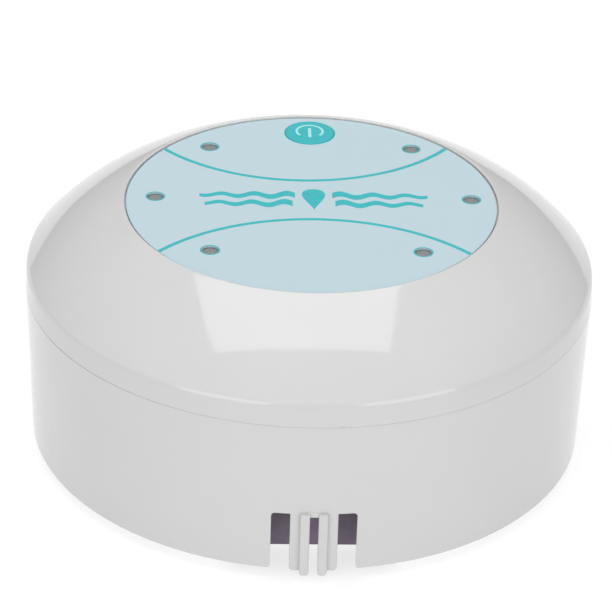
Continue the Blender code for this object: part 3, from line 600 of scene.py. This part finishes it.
# Casing ---------------------------------------------------------------------------------------------
def cover_curve(inset, arc_steps, shoulder_steps):
    """The cover's outer line from the label's edge to the parting line, moved in by inset.

    A leaning skirt rises from the parting line, a small arc turns it over into the dome, and
    one large arc goes on from there to the edge of the label's recess.
    """
    skirt_normal = Vector((math.cos(SHOULDER_LEAN), math.sin(SHOULDER_LEAN)))
    skirt_low = Vector((BODY_RADIUS, PARTING_Z))
    skirt_high = skirt_low + SHOULDER_HEIGHT * Vector((-skirt_normal.y, skirt_normal.x))
    line = [(skirt_low, skirt_normal)]

    middle = skirt_high - SHOULDER_RADIUS * skirt_normal
    for step in range(shoulder_steps + 1):
        angle = SHOULDER_LEAN + (math.pi / 2 - SHOULDER_SLOPE - SHOULDER_LEAN) * step / shoulder_steps
        normal = Vector((math.cos(angle), math.sin(angle)))
        line.append((middle + SHOULDER_RADIUS * normal, normal))

    start = line[-1][0]
    end = Vector((RECESS_RADIUS + 0.5 * MM, COVER_TOP_Z))
    chord = start - end
    half_turn = SHOULDER_SLOPE - math.atan2(-chord.y, chord.x)
    arc_radius = chord.length / (2 * math.sin(half_turn))
    middle = start - arc_radius * Vector((math.sin(SHOULDER_SLOPE), math.cos(SHOULDER_SLOPE)))
    for step in range(1, arc_steps + 1):
        slope = SHOULDER_SLOPE - 2 * half_turn * step / arc_steps
        normal = Vector((math.sin(slope), math.cos(slope)))
        line.append((middle + arc_radius * normal, normal))

    moved = [point - inset * normal for point, normal in line]
    return [(point.x, point.y) for point in reversed(moved)]


def build_top_cover():
    lower_edge = PARTING_Z + SEAM / 2
    outer = cover_curve(0, 28, 18)
    inner = [point for point in reversed(cover_curve(WALL, 12, 8)) if point[1] < CEILING_Z - 0.5 * MM]
    lip = arc((RECESS_RADIUS + LIP_RADIUS, COVER_TOP_Z - LIP_DROP), LIP_RADIUS,
              math.pi, math.radians(75), 6)
    profile = [(0, CEILING_TOP_Z), (RECESS_RADIUS, CEILING_TOP_Z)] + lip
    profile += [point for point in outer if lower_edge + 0.2 * MM < point[1] < lip[-1][1] - 0.05 * MM]
    profile += rounded([(BODY_RADIUS, PARTING_Z + 1 * MM), (BODY_RADIUS, lower_edge, SEAM_EDGE),
                        (BODY_RADIUS - WALL, lower_edge)])[1:]
    profile += inner[1:] + [(inner[-1][0] - 2.5 * MM, CEILING_Z), (0, CEILING_Z)]
    cover = lathe("top_cover_shell", profile, SHELL_SEGMENTS)

    columns = []
    dome = [(0, CEILING_Z + WALL / 2)] + cover_curve(WALL / 2, 10, 6)
    dome += [(BODY_RADIUS - WALL, -DEEP), (0, -DEEP)]
    for at in BASE_SCREWS:
        column = rod(COLUMN_RADIUS, COLUMN_FOOT_Z, LABEL_TOP_Z, at)
        columns.append(combine(column, "INTERSECT", [lathe("dome", dome, SHELL_SEGMENTS // 2)]))
    bosses = [rod(POST_RADIUS, BOARD_TOP_Z + GAP, CEILING_Z + 1 * MM, at) for at in CONTROL_SCREWS]
    combine(cover, "UNION", columns + bosses)
    below, above = CEILING_Z - 3 * MM, LABEL_TOP_Z + DEEP
    holes = [rod(COLUMN_HOLE_RADIUS, 0, COLUMN_HOLE_TOP_Z, at) for at in BASE_SCREWS]
    holes += [rod(BOSS_HOLE_RADIUS, BOARD_TOP_Z, BOSS_HOLE_TOP_Z, at) for at in CONTROL_SCREWS]
    holes += [rod(LAMP_RADIUS + GAP, below, above, at) for at in LAMPS]
    holes.append(rod(KEY_RADIUS + GAP, below, above, KEY_CENTRE))
    combine(cover, "DIFFERENCE", holes)
    dress(cover, "white_abs", "top_cover")


def notch_outline():
    """The cable opening seen from the front, with rounded top corners and flared lower ones."""
    half, flare = NOTCH_HALF_WIDTH, NOTCH_FLARE
    right = arc((half - NOTCH_CORNER, NOTCH_TOP_Z - NOTCH_CORNER), NOTCH_CORNER, math.pi / 2, 0, 6)
    right += arc((half + flare, RIM_Z + flare), flare, math.pi, 1.5 * math.pi, 8)
    right.append((half + flare, -DEEP))
    return right + [(-x, z) for x, z in reversed(right)]


def beside_notch(at):
    return abs(at.x) < 14 * MM and at.y < -60 * MM and at.z < NOTCH_TOP_Z + 1 * MM


def build_side_wall():
    top = PARTING_Z - SEAM / 2
    tongue = BODY_RADIUS - WALL - GAP
    inner_rim = RIM_RADIUS - WALL
    profile = rounded([
        (BODY_RADIUS, top, SEAM_EDGE),
        (RIM_RADIUS, RIM_Z, RIM_FILLET),
        (inner_rim, RIM_Z, 0.4 * MM),
        (BODY_RADIUS - WALL, top - 4 * MM),
        (tongue - TONGUE_THICK, top - 2.6 * MM),
        (tongue - TONGUE_THICK, TONGUE_TOP_Z, 0.3 * MM),
        (tongue, TONGUE_TOP_Z, 0.4 * MM),
        (tongue, top),
    ], 6)
    wall = lathe("side_wall_shell", profile, SHELL_SEGMENTS)
    notch = slab("notch", notch_outline(), -BODY_RADIUS - DEEP, -66 * MM, "Y")
    combine(wall, "DIFFERENCE", [notch])
    round_edges(wall, 0.28 * MM, beside_notch, 3)

    added = [comb_finger(side) for side in (-1, 1)]
    added += [comb_rib(side) for side in (-1, 1)]
    half = COMB_SLOT + 0.6 * MM
    low = (-half, COMB_FACE_Y - 0.4 * MM, NOTCH_TOP_Z - 1 * MM)
    high = (half, COMB_BACK_Y - 0.6 * MM, NOTCH_TOP_Z + 0.8 * MM)
    added.append(rounded_box("web", low, high, 0.25 * MM))
    for angle in GUSSET_TURNS:
        gusset = rounded_box("gusset", (GUSSET_INNER, -GUSSET_HALF, BASE_TOP_Z + GAP),
                             (GUSSET_OUTER, GUSSET_HALF, GUSSET_TOP_Z), 0.2 * MM)
        gusset.data.transform(Matrix.Rotation(math.radians(angle), 4, "Z"))
        added.append(gusset)
    combine(wall, "UNION", added)
    dress(wall, "white_abs", "side_wall")


def build_gate_marks():
    """Two tiny glossy beads of plastic left on the parting line by the mould's gates."""
    for number, turn in enumerate(GATE_TURNS, start=1):
        profile = arc((0, 0), GATE_RADIUS, math.pi / 2, -math.pi / 2, 10)
        bead = lathe(f"gate_mark_{number}", [(max(x, 0), z) for x, z in profile], 24)
        bead.data.transform(Matrix.Diagonal(GATE_STRETCH))
        out = Matrix.Rotation(math.radians(turn), 4, "Z") @ Matrix.Translation((BODY_RADIUS, 0, PARTING_Z))
        bead.data.transform(out)
        dress(bead, "white_abs")


def comb_finger(side):
    """Flat finger of the comb, its free end rounded."""
    top = NOTCH_TOP_Z + 1.3 * MM
    outline = rounded([(COMB_SLOT, top), (COMB_SLOT, FINGER_END_Z, 0.5 * MM),
                       (COMB_FLANGE, FINGER_END_Z, 0.9 * MM), (COMB_FLANGE, top)], 5)
    finger = slab("finger", [(side * x, z) for x, z in outline], COMB_FACE_Y, COMB_BACK_Y, "Y")
    return round_edges(finger, 0.3 * MM, lambda at: at.z < NOTCH_TOP_Z, 3)


def comb_rib(side):
    """Raised rib along the finger's slot edge, with a rounded tip."""
    top = NOTCH_TOP_Z + 0.3 * MM
    outline = rounded([(COMB_SLOT, top), (COMB_SLOT, RIB_END_Z, 0.8 * MM),
                       (COMB_RIB, RIB_END_Z, 0.8 * MM), (COMB_RIB, top)], 5)
    rib = slab("rib", [(side * x, z) for x, z in outline], RIB_FACE_Y, COMB_BACK_Y - 0.3 * MM, "Y")
    return round_edges(rib, 0.35 * MM, lambda at: True, 3)


def build_base_plate():
    """Disc with a shallow groove near its edge, cups for the long screws and posts for the boards."""
    groove_top = BASE_LOW_Z + GROOVE_DEPTH
    groove_inner = GROOVE_OUTER - GROOVE_WIDTH
    profile = rounded([(0, BASE_TOP_Z), (BASE_RADIUS, BASE_TOP_Z, 0.3 * MM),
                       (BASE_RADIUS, BASE_LOW_Z, 0.4 * MM), (GROOVE_OUTER, BASE_LOW_Z),
                       (GROOVE_OUTER - GROOVE_DEPTH, groove_top), (groove_inner + GROOVE_DEPTH, groove_top),
                       (groove_inner, BASE_LOW_Z), (0, BASE_LOW_Z)])
    base = lathe("base_plate_shell", profile, SHELL_SEGMENTS)
    into_plate = BASE_TOP_Z - 1 * MM
    raised = [rod(CUP_RADIUS, into_plate, COLUMN_FOOT_Z - GAP, at) for at in BASE_SCREWS]
    raised += [rod(POST_RADIUS, into_plate, POWER_BOARD_Z - GAP, at) for at in POWER_SCREWS]
    raised += [rod(POST_RADIUS, into_plate, BAY_LUG_Z - GAP, at) for at in BAY_SCREWS]
    combine(base, "UNION", raised)

    well = rounded([(0, CUP_HEAD_ROOM_Z), (CUP_HEAD_ROOM_RADIUS, CUP_HEAD_ROOM_Z, 0.3 * MM),
                    (CUP_HEAD_ROOM_RADIUS, BASE_LOW_Z + 0.3 * MM),
                    (CUP_HEAD_ROOM_RADIUS + 0.3 * MM, BASE_LOW_Z),
                    (CUP_HEAD_ROOM_RADIUS + 0.3 * MM, 0), (0, 0)])
    holes = [lathe("well", well, ROUND_SEGMENTS, at) for at in BASE_SCREWS]
    holes += [rod(COLUMN_HOLE_RADIUS, CUP_HEAD_ROOM_Z - GAP, DEEP, at) for at in BASE_SCREWS]
    holes += [rod(POST_HOLE_RADIUS, BASE_TOP_Z - GAP, DEEP, at) for at in POWER_SCREWS + BAY_SCREWS]
    holes += [rod(FOOT_RADIUS + GAP, 0, BASE_LOW_Z + 0.8 * MM, at, 64) for at in FEET]
    edge = BAY_HIGH.x + 0.4 * MM
    bay_back = BAY_BACK_Y + BAY_WALL + 0.4 * MM
    holes.append(rounded_box("bay_cut", (-edge, -BODY_RADIUS - DEEP, -DEEP), (edge, bay_back, DEEP)))
    combine(base, "DIFFERENCE", holes)
    dress(base, "white_abs", "base_plate")


def build_feet():
    """Soft pads with a moulded ring on the sole."""
    for number, at in enumerate(FEET, start=1):
        sole = [(5.2, 0.0), (4.3, 0.0), (4.0, 0.3), (3.0, 0.3), (2.7, 0.0), (0, 0.0)]
        profile = rounded([(0, FOOT_TOP_Z), (FOOT_RADIUS, FOOT_TOP_Z, 0.3 * MM), (FOOT_RADIUS, 0, 0.8 * MM)]
                          + [(radius * MM, height * MM) for radius, height in sole], 5)
        dress(lathe(f"foot_pad_{number}", profile, 64, at), "grey_rubber", f"foot_{number}")


# Connector bay --------------------------------------------------------------------------------------
def build_connector_bay():
    back = BAY_BACK_Y + BAY_WALL
    low = (BAY_LOW.x, -BODY_RADIUS - DEEP, BAY_LOW.z)
    bay = rounded_box("bay_shell", low, (BAY_HIGH.x, back, BAY_HIGH.z), 0.5 * MM)
    front = rod(BAY_FRONT_RADIUS, -DEEP, BAY_HIGH.z + DEEP, (0, 0), SHELL_SEGMENTS)
    combine(bay, "INTERSECT", [front])
    lug = rounded_box("lug", (-LUG_HALF_WIDTH, back - 0.8 * MM, BAY_LUG_Z),
                      (LUG_HALF_WIDTH, LUG_BACK_Y, BAY_LUG_Z + LUG_THICK), 0.35 * MM)
    combine(bay, "UNION", [lug])

    half = BAY_HIGH.x - BAY_WALL
    ceiling = BAY_HIGH.z - BAY_WALL
    low = (-half, -BODY_RADIUS - DEEP, -DEEP)
    hollow = [rounded_box("inside", low, (half, BAY_BACK_Y, ceiling), 0.6 * MM)]
    for at in (JACK_CENTRE, ARRAY_CENTRE):
        hollow.append(rod(SOCKET_THREAD_RADIUS + GAP, ceiling - 5 * MM, ceiling + 5 * MM, at))
    for at in BAY_SCREWS:
        hollow.append(rod(LUG_HOLE_RADIUS, BAY_LUG_Z - LUG_THICK, BAY_LUG_Z + 2 * LUG_THICK, at))
    combine(bay, "DIFFERENCE", hollow)
    dress(bay, "dark_abs", "connector_bay")


def build_socket(name, at, bore, pins, pin_radius):
    """Panel socket seen from below: flange, bore with a lead-in, thread and contact pins."""
    low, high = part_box(name)
    flange_top = low.z + 1.5 * MM
    blind = low.z + 9 * MM
    rear = blind + 2 * MM
    thread = []
    crest, pitch = SOCKET_THREAD_RADIUS, 0.5 * MM
    height = rear - 0.3 * MM
    while height > flange_top + pitch:
        thread += [(crest, height), (crest - pitch / 2, height - pitch / 2)]
        height -= pitch
    profile = [(0, rear), (crest - 0.3 * MM, rear)] + thread + [(crest, flange_top)]
    profile += rounded([(3 * MM, flange_top), (SOCKET_FLANGE_RADIUS, flange_top, 0.25 * MM),
                        (SOCKET_FLANGE_RADIUS, low.z, 0.35 * MM),
                        (bore + 0.4 * MM, low.z), (bore, low.z + 0.4 * MM)])[1:]
    profile += [(bore, blind), (0, blind)]
    socket = lathe(f"{name}_shell", profile, 64, at)
    contacts = []
    for offset in pins:
        tip = low.z + 1 * MM
        pin = rounded([(0, blind + 1 * MM), (pin_radius, blind + 1 * MM),
                       (pin_radius, tip, pin_radius * 0.7), (0, tip)])
        contacts.append(lathe("pin", pin, 24, (at.x + offset, at.y)))
    contacts.append(rounded_box("tail", (at.x - 2 * MM, at.y - 1.5 * MM, rear - 1 * MM),
                                (at.x + 2 * MM, at.y + 1.5 * MM, high.z), 0.2 * MM))
    combine(socket, "UNION", contacts)
    dress(socket, "nickel", name)


# Screws ---------------------------------------------------------------------------------------------
def screw(name, head_down, head_radius, head_height, shank_radius):
    """Pan-head screw with a cross recess and a rolled thread, in the place of its CAD node."""
    low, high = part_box(name)
    length = high.z - low.z - head_height
    profile = [(0, head_height), (head_radius * 0.55, head_height - 0.02 * MM)]
    profile += rounded([(head_radius * 0.6, head_height - 0.03 * MM),
                        (head_radius, head_height * 0.62, 0.3 * MM), (head_radius, 0)])[1:]
    pitch = 1.0 * MM
    turns = int((length - 1.2 * MM) / pitch)
    for number in range(turns):
        top = -0.2 * MM - number * pitch
        profile += [(shank_radius * 0.78, top), (shank_radius, top - pitch * 0.4),
                    (shank_radius, top - pitch * 0.55)]
    profile += [(shank_radius * 0.78, -length + 0.8 * MM), (0, -length)]
    made = lathe(name + "_turned", profile, 32)
    deep, over = head_height - 0.9 * MM, head_height + 1 * MM
    arms = [rounded_box("arm", (-long, -wide, deep), (long, wide, over))
            for long, wide in ((1.5 * MM, 0.28 * MM), (0.28 * MM, 1.5 * MM))]
    combine(made, "DIFFERENCE", arms)
    middle = centre(name)
    if head_down:
        made.data.transform(Matrix.Rotation(math.pi, 4, "X"))
        made.data.transform(Matrix.Translation((middle.x, middle.y, low.z + head_height)))
    else:
        made.data.transform(Matrix.Translation((middle.x, middle.y, high.z - head_height)))
    dress(made, "steel", name)


def build_screws():
    for name in numbered("base_screw", 4):
        screw(name, True, 2.9 * MM, 1.8 * MM, 1.5 * MM)
    for name in numbered("control_screw", 4):
        screw(name, True, 2.6 * MM, 1.6 * MM, 1.1 * MM)
    for name in numbered("power_screw", 4) + numbered("bay_screw", 2):
        screw(name, False, 2.6 * MM, 1.6 * MM, 1.2 * MM)


# Label, button and lamps ----------------------------------------------------------------------------
def circle(middle, radius, steps=ROUND_SEGMENTS):
    return arc(middle, radius, 0, 2 * math.pi, steps)[:-1]


def printed(name, outlines, low, slot, finish=None, body=CASING):
    """Ink as thin closed solids; outlines inside others are left open."""
    data = bpy.data.curves.new(name, "CURVE")
    data.dimensions = "2D"
    data.fill_mode = "BOTH"
    data.extrude = INK_HEIGHT
    for outline in outlines:
        spline = data.splines.new("POLY")
        spline.points.add(len(outline) - 1)
        for point, (x, y) in zip(spline.points, outline):
            point.co = (x, y, 0, 1)
        spline.use_cyclic_u = True
    bm = curve_mesh(data)
    bmesh.ops.translate(bm, verts=bm.verts, vec=(0, 0, low))
    return dress(piece_from(bm, name), slot, body=body, finish=finish)


def build_label():
    edge = 0.08 * MM
    profile = rounded([(0, LABEL_TOP_Z), (LABEL_RADIUS, LABEL_TOP_Z, edge),
                       (LABEL_RADIUS, LABEL_LOW_Z), (0, LABEL_LOW_Z)])
    label = lathe("label_face", profile, SHELL_SEGMENTS)
    below, above = LABEL_LOW_Z - 5 * MM, LABEL_TOP_Z + 5 * MM
    holes = [rod(WINDOW_RADIUS, below, above, at) for at in LAMPS]
    holes.append(rod(KEY_RADIUS + KEY_SLIT, below, above, KEY_CENTRE, 96))
    combine(label, "DIFFERENCE", holes)
    dress(label, "label_film", "label_overlay")


def ripple_stroke(start_x, end_x, middle_y):
    """Outline of a wavy stroke that thins out towards its outer end."""
    steps = 48
    upper, lower = [], []
    for step in range(steps + 1):
        share = step / steps
        x = start_x + (end_x - start_x) * share
        turn = 2 * math.pi * abs(x - start_x) / RIPPLE_LENGTH
        y = middle_y + RIPPLE_SWING * (1 - 0.45 * share) * math.sin(turn)
        half = (RIPPLE_THICK + (RIPPLE_THIN - RIPPLE_THICK) * share) / 2
        upper.append((x, y + half))
        lower.append((x, y - half))
    return upper + lower[::-1]


def drop_outline(middle, half_height):
    """Teardrop that points towards -Y, the way up for someone on the button's side."""
    points = []
    for step in range(64):
        turn = 2 * math.pi * step / 64
        width = math.sin(turn) * abs(math.sin(turn / 2)) ** 1.9
        points.append((middle[0] + 0.8 * half_height * width, middle[1] - half_height * math.cos(turn)))
    return points


def printed_arc(x, y, radius):
    """Band along a circle, ended where it meets the label's edge."""
    away = math.hypot(x, y)
    reach = LABEL_RADIUS - 0.15 * MM
    facing = math.atan2(-y, -x)
    strip = []
    for edge, direction in ((radius - ARC_WIDTH / 2, 1), (radius + ARC_WIDTH / 2, -1)):
        along = (edge ** 2 - reach ** 2 + away ** 2) / (2 * away)
        half = math.acos(along / edge)
        strip += arc((x, y), edge, facing - direction * half, facing + direction * half, 72)
    return strip


def build_print():
    arcs = [printed_arc(*FAR_ARC), printed_arc(*NEAR_ARC)]
    printed("print_arcs", arcs, LABEL_TOP_Z, "key_teal")

    rings = []
    for at in LAMPS:
        rings += [circle(at, LAMP_RING_RADIUS), circle(at, WINDOW_RADIUS + 0.02 * MM)]
    printed("print_lamp_rings", rings, LABEL_TOP_Z, "key_teal")
    slit = KEY_RADIUS + KEY_SLIT + 0.02 * MM
    key_ring = [circle(KEY_CENTRE, KEY_RING_RADIUS, 96), circle(KEY_CENTRE, slit, 96)]
    printed("print_key_ring", key_ring, LABEL_TOP_Z, "key_teal")

    motif = [drop_outline((PRINT_X, PRINT_Y), DROP_HALF_HEIGHT)]
    for side in (-1, 1):
        for near, far, rise in RIPPLES:
            motif.append(ripple_stroke(PRINT_X + side * near * MM, PRINT_X + side * far * MM,
                                       PRINT_Y + rise * MM))
    printed("print_motif", motif, LABEL_TOP_Z, "key_teal")


def build_power_button():
    top, flange = KEY_TOP_Z, KEY_FLANGE_RADIUS
    flange_top = CEILING_Z - GAP
    cap = KEY_RADIUS + KEY_SLIT / 2
    profile = rounded([(0, top), (cap, top, 0.2 * MM), (cap, LABEL_LOW_Z), (KEY_RADIUS, LABEL_LOW_Z),
                       (KEY_RADIUS, flange_top), (flange, flange_top, 0.2 * MM),
                       (flange, KEY_LOW_Z, 0.2 * MM), (0, KEY_LOW_Z)], 5)
    dress(lathe("button_cap", profile, 96, KEY_CENTRE), "key_teal", "power_button", body=BUTTON)

    middle = (KEY_CENTRE.x, KEY_CENTRE.y + SYMBOL_OFFSET_Y)
    start = -math.pi / 2 + SYMBOL_GAP / 2
    end = start + 2 * math.pi - SYMBOL_GAP
    outer = arc(middle, SYMBOL_RADIUS + SYMBOL_STROKE / 2, start, end, 60)
    inner = arc(middle, SYMBOL_RADIUS - SYMBOL_STROKE / 2, end, start, 60)
    left, right = middle[0] - SYMBOL_BAR_HALF, middle[0] + SYMBOL_BAR_HALF
    low, high = (middle[1] + end_y for end_y in SYMBOL_BAR)
    bar = [(left, low), (right, low), (right, high), (left, high)]
    printed("print_power_symbol", [outer + inner, bar], top, "key_teal", SYMBOL_INK, BUTTON)


def build_lamps():
    """Lamps whose crowned ends fill the label's windows."""
    rise, lens = 0.35 * MM, 2.0 * MM
    edge = LAMP_TIP_Z - rise
    crown = (lens ** 2 + rise ** 2) / (2 * rise)
    turn = math.asin(lens / crown)
    cap = arc((0, LAMP_TIP_Z - crown), crown, math.pi / 2, math.pi / 2 - turn, 10)
    foot = LAMP_LOW_Z + 1 * MM
    profile = [(0, LAMP_TIP_Z)] + cap[1:]
    profile += arc((lens, edge - 0.45 * MM), 0.45 * MM, math.radians(70), 0, 6)
    profile += rounded([(LAMP_RADIUS, edge - 1 * MM), (LAMP_RADIUS, foot), (2.9 * MM, foot, 0.15 * MM),
                        (2.9 * MM, LAMP_LOW_Z), (0, LAMP_LOW_Z)])
    for number, at in enumerate(LAMPS, start=1):
        dress(lathe(f"lamp_{number}", profile, ROUND_SEGMENTS, at), "lamp_resin", f"led_{number}")


# Choke coil -----------------------------------------------------------------------------------------
def build_choke():
    """Ferrite ring with one layer of enamelled wire wound round it."""
    low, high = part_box("choke_coil")
    middle = centre("choke_coil")
    tube = (high.z - low.z) / 2
    ring = (high.x - low.x) / 2 - tube
    section = arc((ring, middle.z), tube - 2.2 * CHOKE_WIRE, math.pi / 2, -1.5 * math.pi, 24)
    dress(lathe("choke_core", section[:-1], ROUND_SEGMENTS, middle), "black_resin")

    steps = CHOKE_TURNS * CHOKE_STEPS
    data = bpy.data.curves.new("choke_winding", "CURVE")
    data.dimensions = "3D"
    data.bevel_depth = CHOKE_WIRE
    data.bevel_resolution = 2
    data.use_fill_caps = True
    spline = data.splines.new("POLY")
    spline.points.add(steps)
    for step, point in enumerate(spline.points):
        around_ring = CHOKE_SWEEP * step / steps
        around_tube = 2 * math.pi * step / CHOKE_STEPS
        radius = ring + (tube - CHOKE_WIRE) * math.cos(around_tube)
        height = (tube - CHOKE_WIRE) * math.sin(around_tube)
        point.co = (middle.x + radius * math.cos(around_ring), middle.y + radius * math.sin(around_ring),
                    middle.z + height, 1)
    dress(piece_from(curve_mesh(data), "choke_winding"), "copper_winding", "choke_coil", smooth=60)


# CAD nodes that stay --------------------------------------------------------------------------------
def refine(node, slot, width):
    """Keep a CAD node, with its edges rounded and its finish made procedural."""
    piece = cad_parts[node]
    for holder in piece.material_slots:
        holder.material = FINISHES[slot]
    weld = piece.modifiers.new("Weld", "WELD")
    weld.merge_threshold = 0.005 * MM
    flat = piece.modifiers.new("Flat faces", "DECIMATE")
    flat.decimate_type = "DISSOLVE"
    flat.angle_limit = math.radians(1)
    if width:
        edges = piece.modifiers.new("Rounded edges", "BEVEL")
        edges.width = width
        edges.segments = 2
        edges.limit_method = "ANGLE"
        edges.angle_limit = math.radians(50)
        edges.harden_normals = True


def keep_inner_parts():
    kept = {
        "board_green": ["control_board", "power_board"],
        "black_resin": ["switch_body", "controller_chip", "buzzer", "power_transistor"],
        "natural_nylon": ["switch_plunger", "control_header", "power_header"],
        "blue_sleeve": ["capacitor_1", "capacitor_2", "relay"],
        "aluminium": ["heat_sink"],
        "nickel": ["fuse", "dc_jack_nut", "array_socket_nut"],
        "lead_grey": ["ribbon_lead", "dc_lead", "array_lead"],
    }
    for slot, names in kept.items():
        for name in names:
            refine(name, slot, 0.15 * MM)


# Studio ---------------------------------------------------------------------------------------------
def build_camera():
    back = Vector((0, -math.cos(CAMERA_ELEVATION), math.sin(CAMERA_ELEVATION)))
    up = Vector((0, math.sin(CAMERA_ELEVATION), math.cos(CAMERA_ELEVATION)))
    right = Vector((1, 0, 0))
    place = CAMERA_DISTANCE * back - AIM_RIGHT * right + AIM_UP * up
    axes = Matrix((right, up, back)).transposed().to_4x4()
    data = bpy.data.cameras.new("camera")
    data.lens = CAMERA_LENS
    data.sensor_width = 36
    data.clip_start = 0.02
    camera = bpy.data.objects.new("camera", data)
    bpy.context.scene.collection.objects.link(camera)
    camera.matrix_world = (Matrix.Translation((0, 0, AIM_BASE_Z)) @ Matrix.Rotation(-CAMERA_TURN, 4, "Z")
                           @ Matrix.Translation(place) @ axes @ Matrix.Rotation(CAMERA_ROLL, 4, "Z"))
    bpy.context.scene.camera = camera


def softbox(name, middle, facing, width, height, radiance):
    """Rectangular studio light; radiance is how bright its face looks against white."""
    data = bpy.data.lights.new(name, "AREA")
    data.shape = "RECTANGLE"
    data.size = width
    data.size_y = height
    data.energy = radiance * math.pi * width * height
    light = bpy.data.objects.new(name, data)
    light.location = middle
    light.rotation_euler = Vector(facing).to_track_quat("-Z", "Y").to_euler()
    bpy.context.scene.collection.objects.link(light)


def around(turn, elevation, distance):
    """Point at that angle round from -Y towards +X, and that angle above the table."""
    turn, elevation = math.radians(turn), math.radians(elevation)
    flat = distance * math.cos(elevation)
    height = distance * math.sin(elevation) + PARTING_Z
    return Vector((flat * math.sin(turn), -flat * math.cos(turn), height))


def build_world():
    """Even sky, dimmer near the horizon."""
    world = bpy.data.worlds.new("studio")
    world.use_nodes = True
    tree = world.node_tree
    background = tree.nodes["Background"]
    direction = tree.nodes.new("ShaderNodeTexCoord")
    height = tree.nodes.new("ShaderNodeSeparateXYZ")
    tree.links.new(direction.outputs["Generated"], height.inputs["Vector"])
    strength = tree.nodes.new("ShaderNodeMapRange")
    strength.inputs["To Min"].default_value = SKY_LOW
    strength.inputs["To Max"].default_value = SKY_HIGH
    tree.links.new(height.outputs["Z"], strength.inputs["Value"])
    tree.links.new(strength.outputs["Result"], background.inputs["Strength"])
    background.inputs["Color"].default_value = (1, 1, 1, 1)
    bpy.context.scene.world = world


def build_studio():
    bm = bmesh.new()
    bmesh.ops.create_grid(bm, x_segments=8, y_segments=8, size=4.0)
    floor = piece_from(bm, "floor")
    floor.location.z = -0.02 * MM
    paper = Finish("floor", (0.32, 0.32, 0.32), 0.9, Emission_Strength=0.74)
    paper.mottle(60 * MM, 0.01)
    paper.relief(paper.noise(1.5 * MM, 4.0), 0.02 * MM)
    floor.data.materials.append(paper.done())

    build_world()
    bpy.context.scene.view_settings.view_transform = "Standard"

    # The overhead light leans: its front edge hangs low over the dome, its back edge rises.
    dome_front = Vector((0, -55 * MM, 63 * MM))
    run, rise = math.cos(OVERHEAD_LEAN), math.sin(OVERHEAD_LEAN)
    middle = dome_front + OVERHEAD_EDGE + Vector((0, run, rise)) * OVERHEAD_LENGTH / 2
    softbox("overhead", middle, (0, rise, -run), OVERHEAD_WIDTH, OVERHEAD_LENGTH, OVERHEAD_RADIANCE)
    for name, turn, elevation in FRONT_LIGHTS:
        place = around(turn, elevation, 1.0)
        facing = Vector((0, 0, PARTING_Z)) - place
        softbox(name, place, facing, FRONT_WIDTH, FRONT_HEIGHT, FRONT_RADIANCE)


# Assembly -------------------------------------------------------------------------------------------
build_camera()
build_studio()
build_top_cover()
build_side_wall()
build_gate_marks()
build_base_plate()
build_feet()
build_connector_bay()
build_socket("dc_jack", JACK_CENTRE, 3.2 * MM, [0], 1.05 * MM)
build_socket("array_socket", ARRAY_CENTRE, 3.3 * MM, [-1.4 * MM, 1.4 * MM], 0.6 * MM)
build_screws()
build_label()
build_print()
build_power_button()
build_lamps()
build_choke()
keep_inner_parts()
